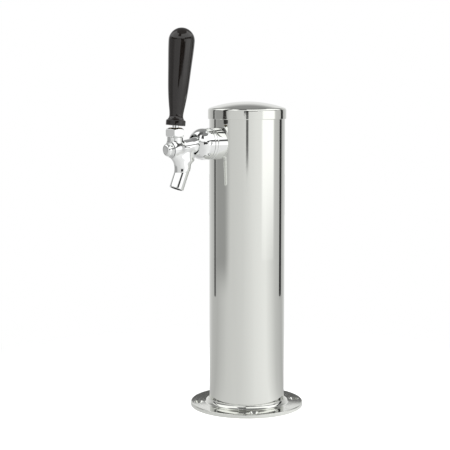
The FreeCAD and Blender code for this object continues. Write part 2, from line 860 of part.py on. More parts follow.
def tap_handle():
    """Black handle: a base ring, a hollow waist and a pear that ends in a half sphere. The
    flare has heights above the waist, with the growth of the radius there."""
    top_centre = (0, handle_length - handle_top_r)
    flare = [(handle_waist_r + growth, handle_waist_rise + rise) for rise, growth in handle_flare]
    bulge = ((handle_waist_r + handle_top_r) / 2 + handle_bulge, top_centre[1] - handle_bulge_drop)
    waist = (handle_waist_r, handle_waist_rise)
    crown = (handle_top_r, top_centre[1])
    ring_centre = (handle_ring_r - handle_ring_round, handle_ring_height - handle_ring_round)
    ring_side = (handle_ring_r, ring_centre[1])
    ring_top = (ring_centre[0], handle_ring_height)
    hollow = (handle_waist_r + handle_hollow, (handle_ring_height + handle_waist_rise) / 2)
    foot = (handle_ring_r - handle_foot_chamfer, 0)
    foot_side = (handle_ring_r, handle_foot_chamfer)

    def at(point):
        return vec(point[0], 0, point[1])

    def line(start, end):
        return Part.LineSegment(at(start), at(end)).toShape()

    def arc(start, through, end):
        return Part.Arc(at(start), at(through), at(end)).toShape()

    pear = Part.BSplineCurve()
    pear.interpolate(
        Points=[at(point) for point in [waist] + flare + [bulge, crown]],
        Tangents=[vec(0, 0, 1)] + [vec(0, 0, 0)] * 3 + [vec(0, 0, 1)],
        TangentFlags=[True, False, False, False, True],
    )
    edges = [
        line((0, 0), foot),
        line(foot, foot_side),
        line(foot_side, ring_side),
        arc(ring_side, arc_point(ring_centre, handle_ring_round, 45), ring_top),
        arc(ring_top, hollow, waist),
        pear.toShape(),
        arc(crown, arc_point(top_centre, handle_top_r, 45), (0, handle_length)),
        line((0, handle_length), (0, 0)),
    ]
    solid = Part.Face(Part.Wire(edges)).revolve(vec(0, 0, 0), vec(0, 0, 1), 360)
    pocket = rod(insert_r + bond_gap, -1, insert_inset + insert_length + bond_gap)
    pocket = pocket.fuse(rod(stud_r + thread_gap, 0, stud_length + stud_hole_slack))
    handle = solid.cut(pocket)
    handle.translate(vec(0, 0, handle_rise))
    return lever_place(handle)


def handle_insert():
    low = handle_rise + insert_inset
    sleeve = ring(insert_r, stud_r + thread_gap, low, low + insert_length)
    lip = ring(insert_r, lever_neck_r + thread_gap, low - insert_inset + face_gap, low)
    return lever_place(sleeve.fuse(lip))


makers = [
    column_tube, base_flange, base_gasket, tower_cap, cap_liner, insulation_sleeve,
    saddle_collar, shank, inner_saddle_washer, shank_lock_nut, tail_washer, tail_nut,
    tail_elbow, beer_line, hose_clamp, line_connector, line_collets, line_seals,
    coupling_washer, coupling_nut, faucet_body, valve_shaft, seat_washer, seat_screw,
    plug_gasket, front_plug, lever, ball_washer, friction_washer, bonnet_nut,
    tap_handle, handle_insert,
]

os.makedirs("parts", exist_ok=True)
for maker in makers:
    shape = maker()
    shape.exportStep("parts/" + maker.__name__ + ".step")
    box = shape.BoundBox
    print(f"{maker.__name__:22s} valid {shape.isValid()} solids {len(shape.Solids)}"
          f" volume {shape.Volume:9.1f} z {box.ZMin:7.2f} {box.ZMax:7.2f}")
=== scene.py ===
"""Finished surfaces of a draft beer tower with one tap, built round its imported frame."""

import json
import math

import bmesh
import bpy
import numpy as np
from bpy.props import FloatProperty, FloatVectorProperty, IntProperty, PointerProperty
from mathutils import Matrix, Vector


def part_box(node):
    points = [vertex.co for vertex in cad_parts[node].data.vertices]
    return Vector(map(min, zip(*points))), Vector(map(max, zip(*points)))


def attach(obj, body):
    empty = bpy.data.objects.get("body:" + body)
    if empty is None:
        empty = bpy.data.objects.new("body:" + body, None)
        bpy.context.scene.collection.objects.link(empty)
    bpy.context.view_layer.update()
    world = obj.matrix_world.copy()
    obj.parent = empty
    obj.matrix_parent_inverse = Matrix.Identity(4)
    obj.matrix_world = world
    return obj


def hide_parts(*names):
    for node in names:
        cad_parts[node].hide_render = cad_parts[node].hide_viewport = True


bl_info = {
    "name": "Beer tower",
    "version": (1, 0, 0),
    "blender": (4, 5, 0),
    "location": "View3D > Sidebar > Beer tower",
    "description": "Builds the finished surfaces of a draft beer tower with one tap",
    "category": "Add Mesh",
}

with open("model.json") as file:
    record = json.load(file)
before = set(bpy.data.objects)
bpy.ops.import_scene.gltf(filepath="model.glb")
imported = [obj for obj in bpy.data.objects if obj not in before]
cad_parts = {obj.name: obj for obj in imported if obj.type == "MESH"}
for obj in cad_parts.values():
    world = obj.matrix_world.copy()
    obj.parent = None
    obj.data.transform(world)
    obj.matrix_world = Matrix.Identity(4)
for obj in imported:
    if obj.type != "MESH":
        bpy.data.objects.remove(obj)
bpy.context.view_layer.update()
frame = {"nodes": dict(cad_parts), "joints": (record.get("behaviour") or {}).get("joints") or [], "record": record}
MM = 0.001


# Facts read from the frame

def mount(name):
    return next(m for m in frame["record"]["mounts"] if m["name"] == name)


def joint(name):
    return next(j for j in frame["joints"] if j["name"] == name)


def half_width(node):
    low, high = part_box(node)
    return (high.x - low.x) / 2


SCREWS = mount("base_screws")["dims"]
SPOUT = mount("spout_outlet")
PIVOT = Vector(joint("lever_pull")["pos_m"])
SLIDE = Vector(joint("valve_slide")["axis"])
COLUMN_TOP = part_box("column_tube")[1].z
CAP_LOW, CAP_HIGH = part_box("tower_cap")
COLLAR_FRONT = -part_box("saddle_collar")[0].y
SHANK_LOW, SHANK_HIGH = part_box("shank")
NUT_LOW, NUT_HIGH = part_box("coupling_nut")
BODY_LOW, BODY_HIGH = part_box("faucet_body")
BONNET_LOW, BONNET_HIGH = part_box("bonnet_nut")


def length(name, description, default):
    return FloatProperty(name=name, description=description, default=default, unit="LENGTH",
                         subtype="DISTANCE")


def angle(name, description, degrees):
    return FloatProperty(name=name, description=description, default=math.radians(degrees), subtype="ANGLE")


def colour(name, description, default):
    return FloatVectorProperty(name=name, description=description, default=default, size=3, min=0, max=1,
                               subtype="COLOR")


def share(name, description, default):
    return FloatProperty(name=name, description=description, default=default, min=0, max=1, subtype="FACTOR")


class ColumnSizes(bpy.types.PropertyGroup):
    """Column, base flange and cap"""

    radius: length("Column radius", "Outside radius of the tube", half_width("column_tube"))
    wall: length("Column wall", "Thickness of the tube", 1.2 * MM)
    top: length("Column top", "Height of the tube's upper edge", COLUMN_TOP)
    flange_radius: length("Flange radius", "Outside radius of the base flange", half_width("base_flange"))
    flange_thick: length("Flange thickness", "Thickness of the base flange", 3.8 * MM)
    flange_edge: length("Flange edge", "Rounding of the flange's upper edge", 0.8 * MM)
    neck_round: length("Neck round", "Radius of the hollow between flange and tube", 4.7 * MM)
    neck_lip: length("Neck lip", "Width of the neck's upper edge", 0.3 * MM)
    weld_gap: length("Weld gap", "Room between tube and flange", 0.05 * MM)
    gasket_inner: length("Gasket inside", "Inner radius of the groove under the flange", 39.85 * MM)
    gasket_width: length("Gasket width", "Width of the groove under the flange", 3.2 * MM)
    gasket_depth: length("Gasket depth", "Depth of the groove under the flange", 1.2 * MM)
    screw_circle: length("Screw circle", "Radius of the circle of screw holes", SCREWS["pcd_mm"] / 2 * MM)
    screw_hole: length("Screw hole", "Radius of a screw hole", SCREWS["hole_r_mm"] * MM)
    screw_sink: length("Countersink", "Radius of a countersink at the surface", 5.2 * MM)
    screw_turn: angle("Screw turn", "Angle of the first screw hole from +X", -28)
    screw_count: IntProperty(name="Screw holes", description="Number of screw holes", default=SCREWS["count"])
    cap_radius: length("Cap radius", "Outside radius of the cap", half_width("tower_cap"))
    cap_wall: length("Cap wall", "Thickness of the cap", 1.0 * MM)
    cap_low: length("Cap bottom", "Height of the cap's lower edge", CAP_LOW.z)
    cap_high: length("Cap top", "Height of the dome", CAP_HIGH.z)
    cap_round: length("Cap shoulder", "Rounding between the cap's skirt and its dome", 3.0 * MM)
    dome_radius: length("Dome radius", "Radius of the cap's dome", 115 * MM)


class TapSizes(bpy.types.PropertyGroup):
    """Shank, coupling nut, faucet, bonnet and lever"""

    height: length("Shank height", "Height of the shank's axis", (SHANK_LOW.z + SHANK_HIGH.z) / 2)
    collar_radius: length("Collar radius", "Outside radius of the saddle collar", half_width("saddle_collar"))
    collar_front: length("Collar front", "Reach of the collar from the column's axis", COLLAR_FRONT)
    shank_radius: length("Shank radius", "Radius of the shank's thread", 11.1 * MM)
    shank_rear: length("Shank rear", "Reach of the shank's inner end", -SHANK_HIGH.y)
    shank_front: length("Shank front", "Reach of the shank's front face", -SHANK_LOW.y)
    shank_flange: length("Shank flange", "Radius of the shank's flange", half_width("shank"))
    shank_flange_thick: length("Shank flange thickness", "Thickness of the shank's flange", 3.1 * MM)
    shank_head: length("Shank head", "Radius of the thread that the nut takes", 13.2 * MM)
    shank_bore: length("Shank bore", "Radius of the shank's bore", 3.2 * MM)
    thread_pitch: length("Thread pitch", "Pitch of the shank's thread", 1.41 * MM)
    nut_radius: length("Nut radius", "Outside radius of the coupling nut", half_width("coupling_nut"))
    nut_rear: length("Nut rear", "Reach of the nut's rear face", -NUT_HIGH.y)
    nut_front: length("Nut front", "Reach of the nut's front face", -NUT_LOW.y)
    nut_straight: length("Nut straight", "Length of the nut's straight side", 5.4 * MM)
    nut_nose: length("Nut nose", "Radius of the nut's domed nose", 11.5 * MM)
    nut_thread: length("Nut thread", "Radius of the nut's thread", 13.5 * MM)
    nut_mouth: length("Nut mouth", "Radius of the nut's front opening", 9.6 * MM)
    spanner_hole: length("Spanner hole", "Radius of a spanner hole", 2.1 * MM)
    spanner_depth: length("Spanner hole depth", "Depth of a spanner hole", 1.5 * MM)
    spanner_place: length("Spanner hole place", "Distance of the holes from the nut's rear face", 5.8 * MM)
    spanner_turn: angle("Spanner hole turn", "Angle of the first spanner hole", 5.6)
    spanner_count: IntProperty(name="Spanner holes", description="Number of spanner holes", default=8)
    body_rear: length("Faucet rear", "Reach of the faucet's rear face", -BODY_HIGH.y)
    body_flange: length("Faucet flange", "Radius of the faucet's rear flange", half_width("faucet_body"))
    barrel_radius: length("Barrel radius", "Outside radius of the barrel", 7.0 * MM)
    barrel_length: length("Barrel length", "Length of the barrel along its own axis", 35.1 * MM)
    boss_radius: length("Boss radius", "Radius of the barrel's front boss", 8.5 * MM)
    neck_radius: length("Neck radius", "Radius of the neck under the bonnet", 7.7 * MM)
    neck_top: length("Neck top", "Height of the neck's shoulder", 276.1 * MM)
    spout_radius: length("Spout radius", "Outside radius of the spout", 7.05 * MM)
    spout_bore: length("Spout bore", "Inside radius of the spout", SPOUT["dims"]["r_mm"] * MM)
    plug_radius: length("Plug flange", "Radius of the front plug's flange", half_width("front_plug"))
    button_radius: length("Plug button", "Radius of the front plug's button", 6.2 * MM)
    bonnet_across: length("Bonnet hexagon", "Width of the bonnet across its flats", 17.2 * MM)
    bonnet_low: length("Bonnet bottom", "Height of the bonnet's lower face", BONNET_LOW.z)
    bonnet_high: length("Bonnet top", "Height of the bonnet's upper face", BONNET_HIGH.z)
    bonnet_turn: angle("Bonnet turn", "Angle of the bonnet's first corner", -35)
    ball_radius: length("Ball radius", "Radius of the lever's ball", 5.0 * MM)
    lever_neck: length("Lever neck", "Radius of the lever above its ball", 3.0 * MM)


class HandleSizes(bpy.types.PropertyGroup):
    """Tap handle"""

    rise: length("Handle rise", "Distance of the handle's foot from the pivot", 7.9 * MM)
    lean: angle("Handle lean", "Backward lean of the lever when it is shut", 5.25)
    length: length("Handle length", "Length of the handle along its axis", 94.4 * MM)
    foot: length("Foot radius", "Radius of the ring at the foot", 9.55 * MM)
    foot_height: length("Foot height", "Height of the ring at the foot", 5.5 * MM)
    waist: length("Waist radius", "Smallest radius, above the foot", 6.7 * MM)
    waist_rise: length("Waist height", "Height of the waist above the foot's face", 9.8 * MM)
    top: length("Top radius", "Radius of the rounded top", 12.7 * MM)


class Finishes(bpy.types.PropertyGroup):
    """Colours and gloss of the finishes"""

    steel: colour("Polished steel", "Colour of the column, flange and cap", (0.80, 0.81, 0.77))
    steel_gloss: share("Steel roughness", "Roughness of the polished steel", 0.025)
    chrome: colour("Chrome", "Colour of the chrome plate", (0.90, 0.91, 0.90))
    chrome_gloss: share("Chrome roughness", "Roughness of the chrome plate", 0.035)
    turned: colour("Turned steel", "Colour of the parts inside", (0.62, 0.62, 0.61))
    brass: colour("Brass", "Colour of the handle's insert", (0.76, 0.58, 0.28))
    handle: colour("Handle", "Colour of the handle's plastic", (0.009, 0.007, 0.006))
    rubber: colour("Rubber", "Colour of gaskets and seals", (0.025, 0.025, 0.026))
    nylon: colour("White nylon", "Colour of the pale plastic parts", (0.80, 0.80, 0.77))
    dark_nylon: colour("Black nylon", "Colour of the dark plastic parts", (0.035, 0.035, 0.036))
    line: colour("Beer line", "Colour of the beer line", (0.74, 0.78, 0.80))
    foam: colour("Foam", "Colour of the insulation", (0.26, 0.27, 0.28))


class Studio(bpy.types.PropertyGroup):
    """Camera, floor and light"""

    camera_place: FloatVectorProperty(name="Camera", description="Camera's place", size=3,
                                      default=(0.98393, -0.73436, 0.32637), subtype="TRANSLATION")
    camera_azimuth: angle("Camera azimuth", "Side from which the camera looks", 54.302)
    camera_pitch: angle("Camera pitch", "Downward tilt of the camera", 5.513)
    lens: FloatProperty(name="Lens", description="Focal length in millimetres", default=97.44)
    shift: FloatProperty(name="Shift", description="Vertical shift of the frame", default=-0.05)
    light_azimuth: angle("Light azimuth", "Direction that the pattern of the surroundings faces", 53.8)
    floor_radius: length("Floor radius", "Radius of the pale floor", 1.1)
    floor_blend: length("Floor blend", "Distance over which the floor's reflection fades", 0.45)
    floor_lift: share("Floor lift", "Light that lifts the floor's own tone towards white", 0.42)
    white_start: length("White start", "Distance from the tower where the floor starts to turn white", 0.12)
    white_end: length("White end", "Distance from the tower where the floor is white", 0.4)
    flag_distance: length("Flag distance", "Distance of the dark flags from the tower", 0.68)


# Outlines and turned meshes

# Edges that turn by more degrees than this stay sharp in the shading
CREASE = 30


def rounded(corners, steps=6):
    """Closed outline through corners (radius, height, round). Each round becomes an arc, and a point
    beside each arc keeps the flat next to it flat in the shading."""
    hold = 0.18 * MM
    outline = []
    count = len(corners)
    for i, (x, y, bend) in enumerate(corners):
        here = Vector((x, y))
        before = Vector(corners[i - 1][:2]) - here
        after = Vector(corners[(i + 1) % count][:2]) - here
        if bend <= 0:
            outline.append(here)
            continue
        half = before.angle(after) / 2
        reach = bend / math.tan(half)
        before_room = before.length - reach
        after_room = after.length - reach
        before.normalize()
        after.normalize()
        centre = here + (before + after).normalized() * bend / math.sin(half)
        start = here + before * reach - centre
        sweep = start.angle_signed(here + after * reach - centre)
        if before_room > 3 * hold:
            outline.append(here + before * (reach + hold))
        for k in range(steps + 1):
            turn = -sweep * k / steps
            outline.append(centre + Matrix.Rotation(turn, 2) @ start)
        if after_room > 3 * hold:
            outline.append(here + after * (reach + hold))
    return [(max(p[0], 0.0), p[1]) for p in outline]


def arc(centre, radius, first, last, steps):
    """Points of an arc, with angles in degrees from the outline's radius axis."""
    angles = np.radians(np.linspace(first, last, steps + 1))
    return [(centre[0] + radius * math.cos(a), centre[1] + radius * math.sin(a)) for a in angles]


def turned(outline, turns=192):
    """Bmesh turned about Z from a closed outline. Points on the axis become poles."""
    mesh = bmesh.new()
    rings = []
    for radius, height in outline:
        if radius < 1e-7:
            rings.append([mesh.verts.new((0, 0, height))])
            continue
        ring = []
        for k in range(turns):
            a = 2 * math.pi * k / turns
            ring.append(mesh.verts.new((radius * math.cos(a), radius * math.sin(a), height)))
        rings.append(ring)
    for first, second in zip(rings, rings[1:] + rings[:1]):
        if len(first) == 1 and len(second) == 1:
            continue
        for k in range(turns):
            n = (k + 1) % turns
            if len(first) == 1:
                mesh.faces.new((first[0], second[k], second[n]))
            elif len(second) == 1:
                mesh.faces.new((first[k], first[n], second[0]))
            else:
                mesh.faces.new((first[k], first[n], second[n], second[k]))
    bmesh.ops.recalc_face_normals(mesh, faces=mesh.faces)
    return mesh


def in_line(reach, height, turn):
    """Place of a piece's own axis: reach from the column towards the tap, height, and turn about X."""
    return Matrix.Translation((0, -reach, height)) @ Matrix.Rotation(turn, 4, "X")


def piece(name, mesh, place=Matrix.Identity(4), crease=CREASE):
    """Object at the origin from a bmesh that is moved to its place. Edges sharper than crease stay sharp."""
    data = bpy.data.meshes.new(name)
    mesh.transform(place)
    mesh.to_mesh(data)
    mesh.free()
    smooth(data, crease)
    made = bpy.data.objects.new(name, data)
    bpy.context.scene.collection.objects.link(made)
    return made


def smooth(data, crease):
    data.shade_smooth()
    if crease:
        data.set_sharp_from_angle(angle=math.radians(crease))


def settle(made):
    """Turns the object's modifiers into its plain mesh."""
    graph = bpy.context.evaluated_depsgraph_get()
    plain = bpy.data.meshes.new_from_object(made.evaluated_get(graph))
    made.modifiers.clear()
    old = made.data
    made.data = plain
    plain.name = made.name
    bpy.data.meshes.remove(old)
    smooth(plain, CREASE)


def cut_with(made, cutter):
    modifier = made.modifiers.new("Cut", "BOOLEAN")
    modifier.object = cutter
    modifier.operation = "DIFFERENCE"
    modifier.solver = "EXACT"
    settle(made)
    discard(cutter)


def discard(made):
    data = made.data
    bpy.data.objects.remove(made)
    bpy.data.meshes.remove(data)


def finish_piece(made, material, body, node):
    """Gives the piece its material and its body, and hides the CAD node that it stands for."""
    made.data.materials.clear()
    made.data.materials.append(material)
    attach(made, body)
    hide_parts(node)


def slot_of(node):
    return next(s["material_slot"] for s in frame["record"]["subparts"] if s["node"] == node)


# Holes that repeat round an axis, made by Geometry Nodes

def nodes_of(tree):
    """Adds a node to the tree: kind, then settings, then the values or links of its sockets."""
    def add(kind, sockets=None, **settings):
        node = tree.nodes.new(kind)
        for key, value in settings.items():
            setattr(node, key, value)
        for key, value in (sockets or {}).items():
            if isinstance(value, bpy.types.NodeSocket):
                tree.links.new(value, node.inputs[key])
            else:
                node.inputs[key].default_value = value
        return node
    return add


def drilling_tree():
    """Cuts a ring of copies of a cutter from a mesh."""
    tree = bpy.data.node_groups.new("Ring of holes", "GeometryNodeTree")
    face = tree.interface
    face.new_socket("Geometry", in_out="INPUT", socket_type="NodeSocketGeometry")
    face.new_socket("Cutter", in_out="INPUT", socket_type="NodeSocketObject")
    face.new_socket("Count", in_out="INPUT", socket_type="NodeSocketInt")
    face.new_socket("Circle", in_out="INPUT", socket_type="NodeSocketFloat")
    face.new_socket("Turn", in_out="INPUT", socket_type="NodeSocketFloat")
    face.new_socket("Material", in_out="INPUT", socket_type="NodeSocketMaterial")
    face.new_socket("Geometry", in_out="OUTPUT", socket_type="NodeSocketGeometry")
    add = nodes_of(tree)
    given = add("NodeGroupInput").outputs
    index = add("GeometryNodeInputIndex").outputs["Index"]
    step = add("ShaderNodeMath", {0: 2 * math.pi, 1: given["Count"]}, operation="DIVIDE").outputs[0]
    spin = add("ShaderNodeMath", {0: index, 1: step, 2: given["Turn"]}, operation="MULTIPLY_ADD").outputs[0]
    across = add("ShaderNodeMath", {0: spin}, operation="COSINE").outputs[0]
    along = add("ShaderNodeMath", {0: spin}, operation="SINE").outputs[0]
    x = add("ShaderNodeMath", {0: across, 1: given["Circle"]}, operation="MULTIPLY").outputs[0]
    y = add("ShaderNodeMath", {0: along, 1: given["Circle"]}, operation="MULTIPLY").outputs[0]
    place = add("ShaderNodeCombineXYZ", {"X": x, "Y": y}).outputs[0]
    facing = add("ShaderNodeCombineXYZ", {"Z": spin}).outputs[0]
    points = add("GeometryNodePoints", {"Count": given["Count"], "Position": place}).outputs[0]
    cutter = add("GeometryNodeObjectInfo", {"Object": given["Cutter"]}).outputs["Geometry"]
    sockets = {"Points": points, "Instance": cutter, "Rotation": facing}
    copies = add("GeometryNodeInstanceOnPoints", sockets).outputs[0]
    real = add("GeometryNodeRealizeInstances", {"Geometry": copies}).outputs[0]
    cut = add("GeometryNodeMeshBoolean", operation="DIFFERENCE", solver="EXACT")
    tree.links.new(given["Geometry"], cut.inputs["Mesh 1"])
    tree.links.new(real, cut.inputs["Mesh 2"])
    whole = add("GeometryNodeRealizeInstances", {"Geometry": cut.outputs["Mesh"]}).outputs[0]
    painted = add("GeometryNodeSetMaterial", {"Geometry": whole, "Material": given["Material"]}).outputs[0]
    add("NodeGroupOutput", {"Geometry": painted})
    return tree


def drilled(made, cutter, count, circle, turn, material):
    """Cuts the ring of holes from the object, and leaves a plain mesh."""
    tree = drilling_tree()
    modifier = made.modifiers.new("Holes", "NODES")
    modifier.node_group = tree
    values = {"Cutter": cutter, "Count": count, "Circle": circle, "Turn": turn, "Material": material}
    for item in tree.interface.items_tree:
        if item.in_out == "INPUT" and item.name in values:
            modifier[item.identifier] = values[item.name]
    settle(made)
    discard(cutter)
    bpy.data.node_groups.remove(tree)


# Cast shapes, as distance fields that are turned into meshes

class Axis:
    """Line in the plane X = 0 that measures points by height along it and distance from it."""

    def __init__(self, reach, height, direction):
        self.base = np.array((0.0, -reach, height))
        self.way = np.array(direction, float) / np.linalg.norm(direction)

    def measure(self, points):
        offset = points - self.base
        height = offset @ self.way
        radius = np.linalg.norm(offset - height[:, None] * self.way, axis=1)
        return radius, height


def solid_of(radius, height, wall, low, high, edge):
    """Distance to a turned solid whose wall is a radius or a function of height, with rounded ends."""
    out = radius - (wall(height) if callable(wall) else wall) + edge
    over = np.abs(height - (low + high) / 2) - (high - low) / 2 + edge
    return np.hypot(np.maximum(out, 0), np.maximum(over, 0)) + np.minimum(np.maximum(out, over), 0) - edge


def joined(first, second, blend):
    """Smooth union of two distances."""
    mix = np.clip(0.5 + 0.5 * (second - first) / blend, 0, 1)
    return second * (1 - mix) + first * mix - blend * mix * (1 - mix)


def carved(solid, hole, blend):
    """The first distance less the second, with its edges rounded."""
    return -joined(-solid, hole, blend)


def curve_through(heights, values):
    """Natural cubic through the given values, as a function of height."""
    x = np.array(heights, float)
    y = np.array(values, float)
    gap = np.diff(x)
    n = len(x)
    rows = np.eye(n)
    right = np.zeros(n)
    for i in range(1, n - 1):
        rows[i, i - 1:i + 2] = gap[i - 1], 2 * (gap[i - 1] + gap[i]), gap[i]
        right[i] = 6 * ((y[i + 1] - y[i]) / gap[i] - (y[i] - y[i - 1]) / gap[i - 1])
    bend = np.linalg.solve(rows, right)

    def value(h):
        h = np.clip(h, x[0], x[-1])
        i = np.clip(np.searchsorted(x, h) - 1, 0, n - 2)
        a = (x[i + 1] - h) / gap[i]
        b = 1 - a
        curve = ((a ** 3 - a) * bend[i] + (b ** 3 - b) * bend[i + 1]) * gap[i] ** 2 / 6
        return a * y[i] + b * y[i + 1] + curve
    return value


def smooth_step(low, high, first, last):
    """Function of height that eases from first at low to last at high."""
    def value(h):
        t = np.clip((h - low) / (high - low), 0, 1)
        return first + (last - first) * t * t * (3 - 2 * t)
    return value


def neighbours(along):
    """Windows on a grid that pair each point with the next one along an axis."""
    first = [slice(None)] * 3
    second = [slice(None)] * 3
    first[along] = slice(0, -1)
    second[along] = slice(1, None)
    return tuple(first), tuple(second)


def skin(field, low, high, step):
    """Mesh of the surface where the field is zero, with one point in each cell that the surface
    crosses. The points are then moved onto the surface along the field's slope."""
    axes = [np.arange(a, b + step, step) for a, b in zip(low, high)]
    grid = np.stack(np.meshgrid(*axes, indexing="ij"), -1)
    shape = grid.shape[:3]
    value = field(grid.reshape(-1, 3)).reshape(shape)
    cells = tuple(n - 1 for n in shape)
    total = np.zeros(cells + (3,))
    crossings = np.zeros(cells)
    for along in range(3):
        side = [a for a in range(3) if a != along]
        first, second = neighbours(along)
        a, b = value[first], value[second]
        change = (a < 0) != (b < 0)
        part = np.where(change, a / np.where(change, a - b, 1), 0)
        spot = grid[first].copy()
        spot[..., along] += part * step
        for i in (0, 1):
            for j in (0, 1):
                window = [slice(None)] * 3
                window[side[0]] = slice(i, i + cells[side[0]])
                window[side[1]] = slice(j, j + cells[side[1]])
                mask = change[tuple(window)]
                total += np.where(mask[..., None], spot[tuple(window)], 0)
                crossings += mask
    used = crossings > 0
    number = np.full(cells, -1)
    number[used] = np.arange(used.sum())
    points = total[used] / crossings[used][:, None]
    faces = []
    for along in range(3):
        u, v = (along + 1) % 3, (along + 2) % 3
        first, second = neighbours(along)
        a, b = value[first], value[second]
        where = np.argwhere((a < 0) != (b < 0))
        where = where[(where[:, u] > 0) & (where[:, v] > 0)]
        inside = a[tuple(where.T)] < 0
        corners = []
        for du, dv in ((1, 1), (0, 1), (0, 0), (1, 0)):
            cell = where.copy()
            cell[:, u] -= du
            cell[:, v] -= dv
            corners.append(number[tuple(cell.T)])
        quads = np.stack(corners, 1)
        quads[~inside] = quads[~inside][:, ::-1]
        faces.append(quads)
    return settled_on(field, points, step), np.concatenate(faces)


def settled_on(field, points, step):
    """The points after they have been moved down the field's slope to its surface."""
    nudge = 0.02 * MM
    rounds = 4
    for _ in range(rounds):
        here = field(points)
        slope = np.stack([(field(points + nudge * e) - field(points - nudge * e)) / (2 * nudge)
                          for e in np.eye(3)], 1)
        size = np.maximum((slope ** 2).sum(1), 0.05)
        move = -here[:, None] * slope / size[:, None]
        span = np.linalg.norm(move, axis=1)
        move *= np.minimum(1, 0.5 * step / np.maximum(span, 1e-12))[:, None]
        points = points + move
    return points


def cast(name, field, low, high, step):
    """Object from a distance field."""
    points, faces = skin(field, low, high, step)
    data = bpy.data.meshes.new(name)
    data.from_pydata(points.tolist(), [], faces.tolist())
    data.validate()
    mesh = bmesh.new()
    mesh.from_mesh(data)
    bpy.data.meshes.remove(data)
    bmesh.ops.recalc_face_normals(mesh, faces=mesh.faces)
    return piece(name, mesh, crease=0)


# Shader expressions

class Value:
    """Socket of a shader tree that takes part in Python arithmetic."""

    def __init__(self, shader, socket):
        self.shader = shader
        self.socket = socket

    def maths(self, operation, *others):
        sockets = {i: other for i, other in enumerate((self,) + others)}
        return self.shader.node("ShaderNodeMath", sockets, operation=operation)

    def flipped(self, operation, other):
        return self.shader.node("ShaderNodeMath", {0: other, 1: self}, operation=operation)

    def __add__(self, other):
        return self.maths("ADD", other)

    __radd__ = __add__

    def __mul__(self, other):
        return self.maths("MULTIPLY", other)

    __rmul__ = __mul__

    def __sub__(self, other):
        return self.maths("SUBTRACT", other)

    def __rsub__(self, other):
        return self.flipped("SUBTRACT", other)

    def __truediv__(self, other):
        return self.maths("DIVIDE", other)

    def __rtruediv__(self, other):
        return self.flipped("DIVIDE", other)

    def __pow__(self, other):
        return self.maths("POWER", other)

    def __abs__(self):
        return self.maths("ABSOLUTE")

    def eased(self, low, high):
        """0 below low, 1 above high, and a smooth rise between."""
        sockets = {"Value": self, "From Min": low, "From Max": high, "To Min": 0.0, "To Max": 1.0}
        return self.shader.node("ShaderNodeMapRange", sockets, interpolation_type="SMOOTHSTEP")


class Shader:
    """Node tree of a material or of the world."""

    def __init__(self, owner):
        owner.use_nodes = True
        self.tree = owner.node_tree
        self.tree.nodes.clear()

    def node(self, kind, sockets=None, out=0, stops=None, **settings):
        """Adds a node with its settings, then its sockets' values or links, and returns one output."""
        made = self.tree.nodes.new(kind)
        for key, value in settings.items():
            setattr(made, key, value)
        if stops:
            self.set_stops(made.color_ramp, stops)
        for key, value in (sockets or {}).items():
            if isinstance(value, Value):
                self.tree.links.new(value.socket, made.inputs[key])
            else:
                made.inputs[key].default_value = value
        return Value(self, made.outputs[out]) if made.outputs else None

    @staticmethod
    def set_stops(ramp, stops):
        while len(ramp.elements) > 1:
            ramp.elements.remove(ramp.elements[-1])
        for i, (place, level) in enumerate(stops):
            element = ramp.elements[0] if i == 0 else ramp.elements.new(place)
            element.position = place
            tone = level if isinstance(level, tuple) else (level,) * 3
            element.color = tone + (1.0,)

    def object_place(self):
        return self.node("ShaderNodeTexCoord", out="Object")

    def scaled(self, vector, scale):
        return self.node("ShaderNodeVectorMath", {0: vector, 1: scale}, operation="MULTIPLY")

    def dot(self, vector, direction):
        sockets = {0: vector, 1: direction}
        return self.node("ShaderNodeVectorMath", sockets, out="Value", operation="DOT_PRODUCT")

    def length(self, vector):
        return self.node("ShaderNodeVectorMath", {0: vector}, out="Value", operation="LENGTH")

    def parts(self, vector):
        """The three numbers of a vector."""
        split = self.node("ShaderNodeSeparateXYZ", {0: vector}).socket.node
        return tuple(Value(self, output) for output in split.outputs)

    def noise(self, vector, scale, detail):
        sockets = {"Vector": vector, "Scale": scale, "Detail": detail, "Roughness": 0.55}
        return self.node("ShaderNodeTexNoise", sockets)

    def mixed(self, factor, first, second):
        sockets = {"Factor": factor, 6: first, 7: second}
        return self.node("ShaderNodeMix", sockets, out=2, data_type="RGBA")

    def bump(self, height, strength, distance):
        return self.node("ShaderNodeBump", {"Height": height, "Strength": strength, "Distance": distance})

    def surface(self, **inputs):
        """Principled shader on the output. Names use underscores for spaces."""
        sockets = {key.replace("_", " "): value for key, value in inputs.items()}
        self.output(self.node("ShaderNodeBsdfPrincipled", sockets))

    def output(self, closure, kind="ShaderNodeOutputMaterial"):
        self.node(kind, {"Surface": closure})


def rgba(tone, level=1.0):
    return tuple(c * level for c in tone) + (1.0,)


def new_shader(name):
    material = bpy.data.materials.new(name)
    return material, Shader(material)


def polished_steel(tone, gloss):
    """Drawn and polished tube: faint grain along the column, soft smears and fine scratches."""
    material, shader = new_shader("polished_steel")
    place = shader.object_place()
    grain = shader.noise(shader.scaled(place, (1400, 1400, 14)), 1.0, detail=4)
    broad = shader.noise(shader.scaled(place, (120, 120, 5)), 1.0, detail=2)
    smear = shader.noise(place, 22.0, detail=3).eased(0.45, 0.75)
    scratch = shader.noise(shader.scaled(place, (900, 900, 120)), 1.0, detail=1).eased(0.68, 0.74)
    height = grain * 0.7 + broad * 0.3 + scratch * 0.4
    shader.surface(
        Base_Color=shader.mixed(broad, rgba(tone, 0.97), rgba(tone, 1.02)),
        Metallic=1.0,
        Roughness=gloss + grain * 0.02 + smear * 0.03 + scratch * 0.03,
        Normal=shader.bump(height, 0.02, 0.02 * MM),
    )
    return material


